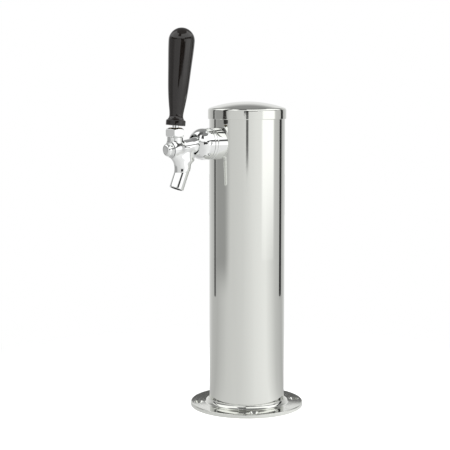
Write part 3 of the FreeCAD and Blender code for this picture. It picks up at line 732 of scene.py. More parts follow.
def turned_polish(tone, gloss):
    """Spun and polished flange and cap: rings of fine grain round the column's axis."""
    material, shader = new_shader("spun_steel")
    place = shader.object_place()
    x, y, z = shader.parts(place)
    radius = (x * x + y * y) ** 0.5
    grain = 1500
    ring_place = shader.node("ShaderNodeCombineXYZ", {"X": radius * grain, "Y": z * grain})
    rings = shader.noise(ring_place, 1.0, detail=3)
    smear = shader.noise(place, 30.0, detail=3).eased(0.45, 0.75)
    shader.surface(
        Base_Color=shader.mixed(smear, rgba(tone, 1.0), rgba(tone, 0.95)),
        Metallic=1.0,
        Roughness=gloss + rings * 0.05 + smear * 0.04,
        Normal=shader.bump(rings, 0.05, 0.02 * MM),
    )
    return material


def spout_bore_shade(shader, place):
    """1 on the wall of the spout's bore, where painted shade darkens the chrome to near black, and 0 elsewhere."""
    offset = shader.node("ShaderNodeVectorMath", {0: place, 1: SPOUT["pos_m"]}, operation="SUBTRACT")
    along = shader.dot(offset, SPOUT["axis"])
    reach = shader.length(offset)
    radius = (reach * reach - along * along) ** 0.5
    wall = SPOUT["dims"]["r_mm"] * MM
    return (1 - radius.eased(wall + 0.15 * MM, wall + 0.4 * MM)) * along.eased(-20 * MM, -16 * MM)


def bright_chrome(tone, gloss):
    """Chrome plate over cast brass: a slow waviness from polishing, a dulled touch here and there, and painted
    shade that darkens the wall of the spout's bore to near black.
    """
    material, shader = new_shader("bright_chrome")
    place = shader.object_place()
    wave = shader.noise(place, 90.0, detail=0)
    touch = shader.noise(place, 260.0, detail=3).eased(0.5, 0.8)
    # Painted shade: the wall of the spout's bore is darkened to near black and made rougher
    bore = spout_bore_shade(shader, place)
    plate = shader.mixed(touch, rgba(tone), rgba(tone, 0.94))
    shader.surface(
        Base_Color=shader.mixed(bore, plate, (0.05, 0.048, 0.045, 1.0)),
        Metallic=1.0,
        Roughness=gloss + touch * 0.05 + bore * 0.3,
        Normal=shader.bump(wave, 0.05, 0.05 * MM),
    )
    return material


def turned_metal(name, tone):
    """Metal left as it comes from the lathe."""
    material, shader = new_shader(name)
    place = shader.object_place()
    marks = shader.noise(shader.scaled(place, (500, 2500, 500)), 1.0, detail=2)
    shader.surface(
        Base_Color=shader.mixed(marks, rgba(tone, 0.88), rgba(tone, 1.06)),
        Metallic=1.0,
        Roughness=0.24 + marks * 0.14,
        Normal=shader.bump(marks, 0.15, 0.03 * MM),
    )
    return material


def handle_plastic(tone):
    """Gloss moulded plastic, with a faint unevenness, fine rubbing marks and a parting line."""
    material, shader = new_shader("black_handle")
    place = shader.object_place()
    seam_width = 0.25 * MM
    seam = 1 - abs(shader.parts(place)[0] * (1 / seam_width)).eased(0.15, 1.0)
    peel = shader.noise(place, 420.0, detail=2)
    rubbed = shader.noise(shader.scaled(place, (700, 700, 90)), 1.0, detail=3).eased(0.5, 0.8)
    cloud = shader.noise(place, 40.0, detail=2)
    shader.surface(
        Base_Color=shader.mixed(cloud, rgba(tone, 0.85), rgba(tone, 1.2)),
        Metallic=0.0,
        Roughness=0.06 + rubbed * 0.06 + cloud * 0.02,
        IOR=1.6,
        Normal=shader.bump(seam * 0.5 + peel * 0.12, 0.35, 0.1 * MM),
    )
    return material


def soft_plain(name, tone, roughness, grain, depth):
    """Matt rubber, nylon or foam: a fine surface with slight colour change."""
    material, shader = new_shader(name)
    place = shader.object_place()
    speck = shader.noise(place, grain, detail=4)
    cloud = shader.noise(place, grain / 12, detail=2)
    shader.surface(
        Base_Color=shader.mixed(cloud, rgba(tone, 0.85), rgba(tone, 1.1)),
        Metallic=0.0,
        Roughness=roughness + speck * 0.15,
        Normal=shader.bump(speck, 0.3, depth),
    )
    return material


MATERIALS = {}


def material_for(slot):
    """Materials are made once, when first asked for, and are named after the record's slots."""
    finish = bpy.context.scene.tower_finishes
    makers = {
        "polished_steel": lambda: polished_steel(finish.steel, finish.steel_gloss),
        "spun_steel": lambda: turned_polish(finish.steel, finish.steel_gloss),
        "chrome": lambda: bright_chrome(finish.chrome, finish.chrome_gloss),
        "turned_steel": lambda: turned_metal("turned_steel", finish.turned),
        "brass": lambda: turned_metal("brass", finish.brass),
        "black_handle": lambda: handle_plastic(finish.handle),
        "black_rubber": lambda: soft_plain("black_rubber", finish.rubber, 0.62, 900.0, 0.05 * MM),
        "black_nylon": lambda: soft_plain("black_nylon", finish.dark_nylon, 0.42, 700.0, 0.03 * MM),
        "white_nylon": lambda: soft_plain("white_nylon", finish.nylon, 0.36, 700.0, 0.03 * MM),
        "clear_line": lambda: soft_plain("clear_line", finish.line, 0.22, 300.0, 0.02 * MM),
        "grey_foam": lambda: soft_plain("grey_foam", finish.foam, 0.75, 1200.0, 0.3 * MM),
    }
    if slot not in MATERIALS:
        MATERIALS[slot] = makers[slot]()
    return MATERIALS[slot]


# Surroundings that the metal reflects, in degrees from the camera's side, positive to the right.
# The level gradient is (turn, brightness). A panel is its brightness, its range of turn, its range
# of elevation and the width of its soft edge.
LEVEL_LIGHT = [
    (-180, 0.88), (-150, 0.72), (-125, 0.55), (-100, 0.52), (-60, 0.69), (-15, 0.74), (25, 0.90),
    (58, 0.97), (95, 0.64), (128, 0.50), (155, 0.72), (180, 0.88),
]
PANELS = {
    "sides": (0.3, -200, 200, 26, 95, 14),
    "front_dark": (0.07, -104, 100, 13, 62, 5),
    "overhead": (0.25, -200, 200, 64, 95, 8),
    "right_softbox": (1.35, -2, 130, 25, 59, 4),
    "left_softbox": (1.25, -128, -34, 22, 62, 5),
    "low_softbox": (1.15, -40, 30, 17, 37, 4),
    "right_wall": (1.3, 46, 88, -6, 14, 8),
    "camera_stand": (0.15, -3.5, 3.5, -3.7, 20, 1.2),
    "camera": (0.06, -2, 26, 1, 15, 4),
}
LEFT_SCREEN = {"left_screen": (0.36, -112, -62, -50, 20, 26)}
# Upright dark flags: turn, width, bottom, top and brightness. The two in front are there for the handle.
FLAGS = {
    "left_flag": (-112.5, 0.115, 0.0, 0.6, 0.13),
    "right_flag": (120, 0.16, 0.0, 0.6, 0.04),
    "back_flag": (180, 0.3, 0.122, 0.187, 0.12),
    "front_flag": (-3.1, 0.154, 0.284, 0.38, 0.02),
    "top_flag": (10.7, 0.48, 0.308, 0.4, 0.03),
}
# Lamps: turn, elevation, distance, size and power
LAMPS = {
    "key_lamp": (40, 62, 1.6, 1.4, 12),
    "fill_lamp": (-70, 50, 1.8, 1.4, 7),
}


class Surroundings:
    """Brightness of the studio by the direction of a vector."""

    def __init__(self, shader, vector, azimuth):
        toward = (math.sin(azimuth), -math.cos(azimuth), 0)
        right = (math.cos(azimuth), math.sin(azimuth), 0)
        sockets = {0: shader.dot(vector, right), 1: shader.dot(vector, toward)}
        self.shader = shader
        self.turn = shader.node("ShaderNodeMath", sockets, operation="ARCTAN2") * math.degrees(1)
        height = shader.dot(vector, (0, 0, 1)) / shader.length(vector)
        self.rise = height.maths("ARCSINE") * math.degrees(1)

    def level(self):
        stops = [(turn / 360 + 0.5, tone) for turn, tone in LEVEL_LIGHT]
        ramp = self.shader.node("ShaderNodeValToRGB", {"Fac": self.turn / 360 + 0.5}, stops=stops)
        return self.shader.node("ShaderNodeRGBToBW", {0: ramp})

    def with_panels(self, tone, panels):
        for level, left, right, low, high, soft in panels.values():
            mask = self.turn.eased(left - soft / 2, left + soft / 2)
            mask = mask * (1 - self.turn.eased(right - soft / 2, right + soft / 2))
            mask = mask * self.rise.eased(low - soft / 2, low + soft / 2)
            mask = mask * (1 - self.rise.eased(high - soft / 2, high + soft / 2))
            tone = tone + (level - tone) * mask
        return tone


def camera_white(shader, shown, others):
    """White for the camera, and the given closure for every other ray."""
    seen = shader.node("ShaderNodeLightPath", out="Is Camera Ray")
    return shader.node("ShaderNodeMixShader", {0: seen, 1: others, 2: shown})


def make_world(studio):
    world = bpy.data.worlds.new("studio")
    bpy.context.scene.world = world
    shader = Shader(world)
    direction = shader.node("ShaderNodeTexCoord", out="Generated")
    around = Surroundings(shader, direction, studio.light_azimuth)
    tone = around.with_panels(around.level(), {**LEFT_SCREEN, **PANELS})
    shaped = shader.node("ShaderNodeBackground", {"Color": tone, "Strength": 1.0})
    plain = shader.node("ShaderNodeBackground", {"Color": (1, 1, 1, 1), "Strength": 1.0})
    shader.output(camera_white(shader, plain, shaped), "ShaderNodeOutputWorld")


def make_floor(studio):
    """Round pale floor. It keeps the tower's shadow, and metal sees it as part of the surroundings."""
    mesh = bmesh.new()
    bmesh.ops.create_circle(mesh, cap_ends=True, segments=128, radius=studio.floor_radius)
    floor = piece("studio_floor", mesh)
    material, shader = new_shader("studio_floor")
    place = shader.object_place()
    distance = shader.length(place)
    edge = distance.eased(studio.floor_radius - studio.floor_blend, studio.floor_radius)
    around = Surroundings(shader, place, studio.light_azimuth)
    near = around.level()
    far = around.with_panels(near, LEFT_SCREEN)
    tone = near + (far - near) * edge
    reflected = shader.node("ShaderNodeEmission", {"Color": tone, "Strength": 1.0})
    diffuse = shader.node("ShaderNodeBsdfDiffuse", {"Color": (0.9, 0.9, 0.9, 1)})
    lift = shader.node("ShaderNodeEmission", {"Color": (1, 1, 1, 1), "Strength": studio.floor_lift})
    near_shown = shader.node("ShaderNodeAddShader", {0: diffuse, 1: lift})
    white = shader.node("ShaderNodeEmission", {"Color": (1, 1, 1, 1), "Strength": 1.0})
    fade = distance.eased(studio.white_start, studio.white_end)
    shown = shader.node("ShaderNodeMixShader", {0: fade, 1: near_shown, 2: white})
    glossy = shader.node("ShaderNodeLightPath", out="Is Glossy Ray")
    others = shader.node("ShaderNodeMixShader", {0: glossy, 1: diffuse, 2: reflected})
    shader.output(camera_white(shader, shown, others))
    floor.data.materials.append(material)
    floor.location.z = -0.05 * MM


def make_flag(name, studio, turn, width, low, high, tone):
    """Upright dark screen beside the tower, which only shows in what the metal and the handle reflect."""
    mesh = bmesh.new()
    half = width / 2
    outline = [(-half, low), (half, low), (half, high), (-half, high)]
    mesh.faces.new([mesh.verts.new((x, -studio.flag_distance, z)) for x, z in outline])
    spin = studio.light_azimuth + math.radians(turn)
    flag = piece(name, mesh, Matrix.Rotation(spin, 4, "Z"))
    material, shader = new_shader(name)
    shader.output(shader.node("ShaderNodeEmission", {"Color": (1, 1, 1, 1), "Strength": tone}))
    flag.data.materials.append(material)
    flag.visible_camera = False
    flag.visible_diffuse = False
    flag.visible_shadow = False


def make_camera(studio):
    data = bpy.data.cameras.new("camera")
    data.lens = studio.lens
    data.sensor_width = 36
    data.shift_y = studio.shift
    data.clip_end = 20
    camera = bpy.data.objects.new("camera", data)
    bpy.context.scene.collection.objects.link(camera)
    camera.location = studio.camera_place
    camera.rotation_euler = (math.radians(90) - studio.camera_pitch, 0, studio.camera_azimuth)
    bpy.context.scene.camera = camera


def make_lamp(name, studio, turn, elevation, distance, size, power):
    """Square soft lamp that faces the tower's middle, and doesn't show in what the metal reflects."""
    data = bpy.data.lights.new(name, "AREA")
    data.shape = "SQUARE"
    data.size = size
    data.energy = power
    lamp = bpy.data.objects.new(name, data)
    bpy.context.scene.collection.objects.link(lamp)
    azimuth = studio.light_azimuth + math.radians(turn)
    flat = math.cos(math.radians(elevation))
    way = Vector((math.sin(azimuth) * flat, -math.cos(azimuth) * flat, math.sin(math.radians(elevation))))
    aim = Vector((0, 0, 0.2))
    lamp.location = aim + way * distance
    lamp.rotation_mode = "QUATERNION"
    lamp.rotation_quaternion = way.to_track_quat("Z", "Y")
    lamp.visible_glossy = False


class TOWER_OT_stage(bpy.types.Operator):
    """Camera, floor, surroundings and lamps"""

    bl_idname = "tower.stage"
    bl_label = "Stage"

    def execute(self, context):
        studio = context.scene.tower_studio
        context.scene.view_settings.view_transform = "Standard"
        make_camera(studio)
        make_world(studio)
        make_floor(studio)
        for name, flag in FLAGS.items():
            make_flag(name, studio, *flag)
        for name, lamp in LAMPS.items():
            make_lamp(name, studio, *lamp)
        return {"FINISHED"}


class TOWER_OT_column(bpy.types.Operator):
    """Polished tube, with the hole that the shank passes through"""

    bl_idname = "tower.column"
    bl_label = "Column"

    def execute(self, context):
        size = context.scene.tower_column
        tap = context.scene.tower_tap
        inner = size.radius - size.wall
        edge = 0.3 * MM
        hole_margin = 14 * MM
        levels = [h for h in np.linspace(0, size.top, 14)[1:-1] if abs(h - tap.height) > hole_margin]
        levels = sorted(levels + [tap.height - hole_margin, tap.height, tap.height + hole_margin])
        levels = [edge + 0.2 * MM] + levels + [size.top - edge - 0.2 * MM]
        outline = arc((inner + edge, edge), edge, 180, 270, 3)
        outline += arc((size.radius - edge, edge), edge, 270, 360, 3)
        outline += [(size.radius, h) for h in levels]
        outline += arc((size.radius - edge, size.top - edge), edge, 0, 90, 3)
        outline += arc((inner + edge, size.top - edge), edge, 90, 180, 3)
        outline += [(inner, h) for h in reversed(levels)]
        tube = piece("column", turned(outline, 288))
        hole_radius = tap.shank_radius + 0.4 * MM
        low, high = inner - 6 * MM, size.radius + 2 * MM
        hole = turned([(0, low), (hole_radius, low), (hole_radius, high), (0, high)], 96)
        cutter = piece("column_cutter", hole, in_line(0, tap.height, math.pi / 2))
        cut_with(tube, cutter)
        finish_piece(tube, material_for("polished_steel"), "tower", "column_tube")
        return {"FINISHED"}


class TOWER_OT_base(bpy.types.Operator):
    """Spun flange with its hollow neck and countersunk holes"""

    bl_idname = "tower.base"
    bl_label = "Base flange"

    def execute(self, context):
        size = context.scene.tower_column
        bore = size.radius + size.weld_gap
        foot = bore + size.neck_lip + size.neck_round
        thick = size.flange_thick
        neck_top = thick + size.neck_round
        groove = size.gasket_inner
        hold = 0.25 * MM
        edge = size.flange_edge
        groove_end = groove + size.gasket_width
        under = 0.3 * MM
        outline = [
            (bore, 0), (groove, 0), (groove, size.gasket_depth),
            (groove_end, size.gasket_depth), (groove_end, 0), (size.flange_radius - 2 * under, 0),
        ]
        outline += arc((size.flange_radius - under, under), under, -90, 0, 3)
        outline += arc((size.flange_radius - edge, thick - edge), edge, 0, 90, 6)
        outline += [(size.flange_radius - edge - hold, thick), (foot + 1.2 * MM, thick), (foot + hold, thick)]
        outline += arc((foot, neck_top), size.neck_round, 270, 180, 16)
        outline += [(bore + size.neck_lip * 0.5, neck_top + 0.05 * MM), (bore, neck_top)]
        flange = piece("flange", turned(outline, 240))
        sink_depth = size.screw_sink - size.screw_hole
        over = 1 * MM
        sink_edge = size.screw_sink + over
        cutter = piece("sink_cutter", turned([
            (0, -over), (size.screw_hole, -over), (size.screw_hole, thick - sink_depth),
            (sink_edge, thick + over), (0, thick + over),
        ], 64))
        material = material_for("spun_steel")
        drilled(flange, cutter, size.screw_count, size.screw_circle, size.screw_turn, material)
        finish_piece(flange, material, "tower", "base_flange")
        return {"FINISHED"}


def dome_outline(size, inset):
    """Half outline of the cap from its skirt to the top of its dome, set in by a wall."""
    bend = size.cap_round
    side = size.cap_radius - bend
    base = size.cap_high - size.dome_radius
    middle = base + math.sqrt((size.dome_radius - bend) ** 2 - side ** 2)
    tangent = math.degrees(math.asin(side / (size.dome_radius - bend)))
    shoulder = arc((side, middle), bend - inset, 0, 90 - tangent, 12)
    dome = arc((0, base), size.dome_radius - inset, 90 - tangent, 90, 24)
    return shoulder + dome[1:-1] + [(0.0, size.cap_high - inset)]


class TOWER_OT_cap(bpy.types.Operator):
    """Domed cap with a rolled lower edge"""

    bl_idname = "tower.cap"
    bl_label = "Cap"

    def execute(self, context):
        size = context.scene.tower_column
        outer = dome_outline(size, 0)
        inner = dome_outline(size, size.cap_wall)
        lip = size.cap_wall / 2
        rim = arc((size.cap_radius - lip, size.cap_low + lip), lip, 180, 360, 8)
        hold = 0.25 * MM
        outline = [(size.cap_radius - size.cap_wall, size.cap_low + lip + hold)] + rim
        outline += [(size.cap_radius, size.cap_low + lip + hold), (size.cap_radius, outer[0][1] - hold)]
        outline += outer + list(reversed(inner)) + [(size.cap_radius - size.cap_wall, outer[0][1] - hold)]
        cap = piece("cap", turned(outline, 240))
        finish_piece(cap, material_for("spun_steel"), "cap", "tower_cap")
        return {"FINISHED"}


class TOWER_OT_shank(bpy.types.Operator):
    """Saddle collar against the column, and the threaded shank with its flange"""

    bl_idname = "tower.shank"
    bl_label = "Collar and shank"

    def execute(self, context):
        self.make_collar(context.scene.tower_column, context.scene.tower_tap)
        self.make_shank(context.scene.tower_tap)
        return {"FINISHED"}

    def make_collar(self, column, tap):
        bore = tap.shank_radius + 0.3 * MM
        outline = rounded([
            (bore, 0, 0), (tap.collar_radius, 0, 0), (tap.collar_radius, tap.collar_front, 0.8 * MM),
            (bore, tap.collar_front, 0.2 * MM),
        ])
        mesh = turned(outline, 192)
        seat = column.radius + 0.1 * MM
        for vertex in mesh.verts:
            if vertex.co.z < 1e-6:
                vertex.co.z = math.sqrt(seat ** 2 - vertex.co.x ** 2)
        bmesh.ops.recalc_face_normals(mesh, faces=mesh.faces)
        collar = piece("collar", mesh, in_line(0, tap.height, math.pi / 2))
        finish_piece(collar, material_for("chrome"), "tower", "saddle_collar")

    def make_shank(self, tap):
        pitch = tap.thread_pitch
        flange_rear = tap.collar_front + 0.1 * MM
        flange_front = tap.collar_front + tap.shank_flange_thick
        chamfer = 0.8 * MM
        steps = int((flange_rear - tap.shank_rear - 2 * chamfer) / (pitch / 6))
        thread = np.linspace(tap.shank_rear + chamfer, flange_rear - chamfer, steps)
        bevel = 0.4 * MM
        head = np.linspace(flange_front + bevel, tap.shank_front - bevel, 18)
        outline = [(tap.shank_bore, tap.shank_rear), (tap.shank_radius - chamfer, tap.shank_rear)]
        outline += [(tap.shank_radius, h) for h in thread]
        outline += [(tap.shank_radius - 0.5 * MM, flange_rear)]
        flange = rounded([
            (tap.shank_head, flange_rear, 0), (tap.shank_flange, flange_rear, 0.5 * MM),
            (tap.shank_flange, flange_front, 0.5 * MM), (tap.shank_head, flange_front, 0),
        ])
        outline += flange + [(tap.shank_head, h) for h in head]
        outline += [(tap.shank_head - bevel, tap.shank_front), (tap.shank_bore, tap.shank_front)]
        mesh = turned(outline, 120)
        depth = 0.7 * MM
        limits = ((thread[0], thread[-1], tap.shank_radius), (head[0], head[-1], tap.shank_head))
        for vertex in mesh.verts:
            radius = vertex.co.xy.length
            for low, high, full in limits:
                if abs(radius - full) < 1e-6 and low - 1e-6 < vertex.co.z < high + 1e-6:
                    turn = vertex.co.z / pitch - math.atan2(vertex.co.y, vertex.co.x) / (2 * math.pi)
                    fall = depth * abs(2 * (turn % 1) - 1)
                    vertex.co.xy *= (full - fall) / radius
        shank = piece("threaded_shank", mesh, in_line(0, tap.height, math.pi / 2))
        finish_piece(shank, material_for("chrome"), "tower", "shank")


class TOWER_OT_coupling(bpy.types.Operator):
    """Coupling nut with its domed nose and ring of spanner holes"""

    bl_idname = "tower.coupling"
    bl_label = "Coupling nut"

    def execute(self, context):
        tap = context.scene.tower_tap
        rise = tap.nut_front - tap.nut_rear - tap.nut_straight
        nose = math.degrees(math.asin(rise / tap.nut_nose))
        nose_start = tap.nut_rear + tap.nut_straight
        shoulder = tap.body_rear + 2.7 * MM
        edge = 0.5 * MM
        outline = [(tap.nut_thread, tap.nut_rear + 0.4 * MM), (tap.nut_thread + 0.4 * MM, tap.nut_rear)]
        outline += arc((tap.nut_radius - edge, tap.nut_rear + edge), edge, 270, 360, 5)
        straight = np.linspace(tap.nut_rear + edge + 0.3 * MM, nose_start, 8)[:-1]
        outline += [(tap.nut_radius, h) for h in straight]
        outline += arc((tap.nut_radius - tap.nut_nose, nose_start), tap.nut_nose, 0, nose, 22)
        outline += [(tap.nut_mouth + 0.15 * MM, tap.nut_front), (tap.nut_mouth, tap.nut_front - 0.15 * MM)]
        outline += [(tap.nut_mouth, shoulder), (tap.nut_thread, shoulder)]
        nut = piece("coupling", turned(outline, 224))
        inner = tap.nut_radius - tap.spanner_depth
        hole = turned([(0, inner), (tap.spanner_hole - 0.3 * MM, inner), (tap.spanner_hole, inner + 0.3 * MM),
                       (tap.spanner_hole, tap.nut_radius + MM), (0, tap.nut_radius + MM)], 40)
        lift = Matrix.Translation((0, 0, tap.nut_rear + tap.spanner_place))
        cutter = piece("spanner_cutter", hole, lift @ Matrix.Rotation(math.pi / 2, 4, "Y"))
        material = material_for("chrome")
        drilled(nut, cutter, tap.spanner_count, 0.0, tap.spanner_turn, material)
        nut.data.transform(in_line(0, tap.height, math.pi / 2))
        finish_piece(nut, material, "tower", "coupling_nut")
        return {"FINISHED"}


class TOWER_OT_faucet(bpy.types.Operator):
    """Cast and plated faucet body: barrel, neck, belly and spout, with its bores"""

    bl_idname = "tower.faucet"
    bl_label = "Faucet body"

    def execute(self, context):
        tap = context.scene.tower_tap
        barrel_way = -SLIDE
        spout_way = Vector(SPOUT["axis"])
        spout_spot = Vector(SPOUT["pos_m"])
        shank = Axis(0, tap.height, (0, -1, 0))
        barrel = Axis(tap.body_rear + MM, tap.height, barrel_way)
        upright = Axis(-PIVOT.y, 0, (0, 0, 1))
        spout = Axis(-spout_spot.y, spout_spot.z, spout_way)
        half_bore = SPOUT["dims"]["length_mm"] / 2 * MM
        spout_top = spout_spot - spout_way * (half_bore + 3.1 * MM)
        throat_top = Vector((0, -(tap.body_rear + 18.2 * MM), 266.5 * MM))
        throat = Axis(-throat_top.y, throat_top.z, spout_top - throat_top)
        belly = self.belly(tap, -spout_top.y, spout_top.z)
        boss = smooth_step(20 * MM, 28.5 * MM, tap.barrel_radius, tap.boss_radius)
        cone = smooth_step(2.5 * MM, 12 * MM, 9.0 * MM, tap.barrel_radius)
        edge = 0.4 * MM
        fine_edge = 0.3 * MM
        front = tap.barrel_length
        cone_end = 16 * MM
        flange_front = tap.body_rear + 2.6 * MM
        hub_radius = 9.3 * MM
        hub_front = tap.body_rear + 4.1 * MM
        thread_radius = 6.9 * MM
        thread_top = tap.neck_top + 3.1 * MM

        def wall(height):
            return np.where(height < cone_end, cone(height), boss(height))

        def field(points):
            shank_at = shank.measure(points)
            barrel_at = barrel.measure(points)
            upright_at = upright.measure(points)
            spout_at = spout.measure(points)
            throat_at = throat.measure(points)
            solid = solid_of(*barrel_at, wall, MM, front, 0.6 * MM)
            neck = solid_of(*upright_at, tap.neck_radius, tap.height - 6 * MM, tap.neck_top, edge)
            solid = joined(solid, neck, 2.2 * MM)
            pipe = solid_of(*spout_at, tap.spout_radius, -half_bore - 6 * MM, half_bore, edge)
            solid = joined(solid, joined(belly(points), pipe, 0.7 * MM), 1.6 * MM)
            flange = solid_of(*shank_at, tap.body_flange, tap.body_rear, flange_front, fine_edge)
            hub = solid_of(*shank_at, hub_radius, tap.body_rear, hub_front, fine_edge)
            solid = joined(solid, joined(flange, hub, 0.3 * MM), 0.5 * MM)
            thread = solid_of(*upright_at, thread_radius, tap.neck_top - 3 * MM, thread_top, fine_edge)
            solid = joined(solid, thread, 0.2 * MM)
            # Each bore is its axis, its radius and the heights of its ends
            bores = (
                (barrel_at, 6.0 * MM, -4 * MM, 11.2 * MM),
                (barrel_at, 4.0 * MM, 0, 14.5 * MM),
                (barrel_at, 5.6 * MM, 13.5 * MM, front + MM),
                (barrel_at, 6.8 * MM, front - 2 * MM, front + MM),
                (barrel_at, 8.3 * MM, front, front + 12 * MM),
                (upright_at, 6.0 * MM, tap.height - 2 * MM, tap.neck_top + 6 * MM),
                (spout_at, tap.spout_bore, -half_bore, half_bore + MM),
                (throat_at, 4.2 * MM, 0, 28 * MM),
            )
            for at, radius, low, high in bores:
                solid = carved(solid, solid_of(*at, radius, low, high, 0.1 * MM), 0.25 * MM)
            return solid

        margin = Vector((MM, MM, MM))
        body = cast("faucet", field, BODY_LOW - margin, BODY_HIGH + margin, 0.4 * MM)
        finish_piece(body, material_for("chrome"), "tower", "faucet_body")
        return {"FINISHED"}

    def belly(self, tap, reach, top):
        """Field of the belly, whose level sections are ellipses that shift forward as they shrink.
        A section is its height, the place of its centre, half its length and half its width."""
        pipe = tap.spout_radius
        sections = [
            (-1.0, 0.2, 0.75, pipe + 0.1 * MM),
            (3.0, -0.3, 1.35, pipe + 0.1 * MM),
            (6.0, -0.5, 2.1, pipe + 0.1 * MM),
            (8.9, -1.4, 4.5, pipe + 0.1 * MM),
            (11.6, -0.7, 5.75, pipe + 0.05 * MM),
            (16.5, -0.6, 5.85, tap.barrel_radius),
            (21.5, -0.6, 5.6, tap.barrel_radius - 0.1 * MM),
        ]
        heights = [top + s[0] * MM for s in sections]
        centre = curve_through(heights, [reach + s[1] * MM for s in sections])
        long_half = curve_through(heights, [pipe + s[2] * MM for s in sections])
        side_half = curve_through(heights, [s[3] for s in sections])

        def field(points):
            x, s, z = points[:, 0], -points[:, 1], points[:, 2]
            a, b = long_half(z), side_half(z)
            u, v = (s - centre(z)) / a, x / b
            size = np.hypot(u, v)
            slope = np.hypot(u / a, v / b) / np.maximum(size, 1e-9)
            level = np.maximum(z - heights[-1], heights[0] - z)
            return np.maximum((size - 1) / np.maximum(slope, 1.0), level)
        return field


class TOWER_OT_plug(bpy.types.Operator):
    """Front plug with its domed button"""

    bl_idname = "tower.plug"
    bl_label = "Front plug"

    def execute(self, context):
        tap = context.scene.tower_tap
        bore = 5.6 * MM
        sleeve = 6.7 * MM
        rear = tap.barrel_length - 1.9 * MM
        flange = tap.barrel_length + 0.56 * MM
        face = flange + 0.8 * MM
        front = face + 5.0 * MM
        outline = rounded([
            (0, flange, 0), (bore, flange, 0), (bore, rear, 0), (sleeve, rear, 0), (sleeve, flange, 0),
            (tap.plug_radius, flange, 0.15 * MM), (tap.plug_radius, face, 0.3 * MM),
            (tap.button_radius, face, 0.25 * MM), (tap.button_radius, front, 2.6 * MM), (0, front, 0),
        ], steps=10)
        way = math.pi / 2 + math.atan2(SLIDE.z, SLIDE.y)
        plug = piece("plug", turned(outline, 128), in_line(tap.body_rear + MM, tap.height, way))
        finish_piece(plug, material_for("chrome"), "tower", "front_plug")
        return {"FINISHED"}


class TOWER_OT_bonnet(bpy.types.Operator):
    """Hexagon nut round the lever, with its turned-off corners and conical mouth"""

    bl_idname = "tower.bonnet"
    bl_label = "Bonnet"

    def execute(self, context):
        tap = context.scene.tower_tap
        upright = Axis(-PIVOT.y, 0, (0, 0, 1))
        flat = tap.bonnet_across / 2
        corner = tap.bonnet_across / math.sqrt(3)
        hex_top = 284.3 * MM
        mouth = 5.85 * MM
        ball_clear = tap.ball_radius + 0.15 * MM
        turns = [tap.bonnet_turn + math.radians(30 + 60 * k) for k in range(6)]
        faces = np.array([(math.cos(a), math.sin(a), 0) for a in turns])
        low, high = tap.bonnet_low, tap.bonnet_high
        thread, throat = 7.2 * MM, 4.3 * MM
        cavity_radii = [thread, thread, throat, mouth, mouth]
        cavity_heights = [low - MM, 280.9 * MM, 281.4 * MM, high, high + MM]

        def cone(radius, height, base, base_radius, rise):
            """Distance outside a cone that narrows by rise for each unit of height above base."""
            return (radius + (height - base) * rise - base_radius) / math.hypot(1, rise)

        def field(points):
            radius, height = upright.measure(points)
            sides = ((points - upright.base) @ faces.T).max(1) - flat
            ends = np.maximum(height - high, low - height)
            top = cone(radius, height, hex_top, flat, (flat - mouth) / (high - hex_top))
            corners = cone(radius, height, hex_top, flat, 1 / 0.7)
            foot = cone(radius, -height, -low - 0.7 * MM, flat, 1.0)
            skirt = -joined(-sides, -ends, 0.35 * MM)
            for cut in (top, corners, foot):
                skirt = -joined(-skirt, -cut, 0.3 * MM)
            inside = radius - np.interp(height, cavity_heights, cavity_radii)
            seat = np.linalg.norm(points - np.array(PIVOT), axis=1) - ball_clear
            return carved(skirt, np.minimum(inside * 0.8, seat), 0.2 * MM)

        reach = Vector((corner, corner, 0)) + Vector((MM, MM, MM))
        middle = Vector((0, PIVOT.y, 0))
        low_corner = middle - reach + Vector((0, 0, low))
        high_corner = middle + reach + Vector((0, 0, high))
        bonnet = cast("bonnet", field, low_corner, high_corner, 0.26 * MM)
        finish_piece(bonnet, material_for("chrome"), "tower", "bonnet_nut")
        return {"FINISHED"}


class TOWER_OT_lever(bpy.types.Operator):
    """Lever with its tongue, ball, neck and threaded stud"""

    bl_idname = "tower.lever"
    bl_label = "Lever"

    def execute(self, context):
        tap = context.scene.tower_tap
        handle = context.scene.tower_handle
        tongue = 2.2 * MM
        reach = 14.6 * MM
        stud = 4.75 * MM
        stud_low = handle.rise + 0.7 * MM
        stud_high = handle.rise + 11 * MM
        ball = tap.ball_radius
        low_angle = -math.degrees(math.acos(tongue / ball))
        high_angle = math.degrees(math.acos(tap.lever_neck / ball))
        outline = arc((0, -reach), tongue, -90, 0, 10)
        outline[0] = (0.0, outline[0][1])
        outline += arc((0, 0), ball, low_angle, high_angle, 36)
        outline += [(tap.lever_neck, stud_low), (stud, stud_low), (stud, stud_high - 0.5 * MM)]
        outline += [(stud - 0.5 * MM, stud_high), (0, stud_high)]
        place = in_line(-PIVOT.y, PIVOT.z, -handle.lean)
        lever = piece("lever_stem", turned(outline, 96), place)
        finish_piece(lever, material_for("chrome"), "lever", "lever")
        return {"FINISHED"}


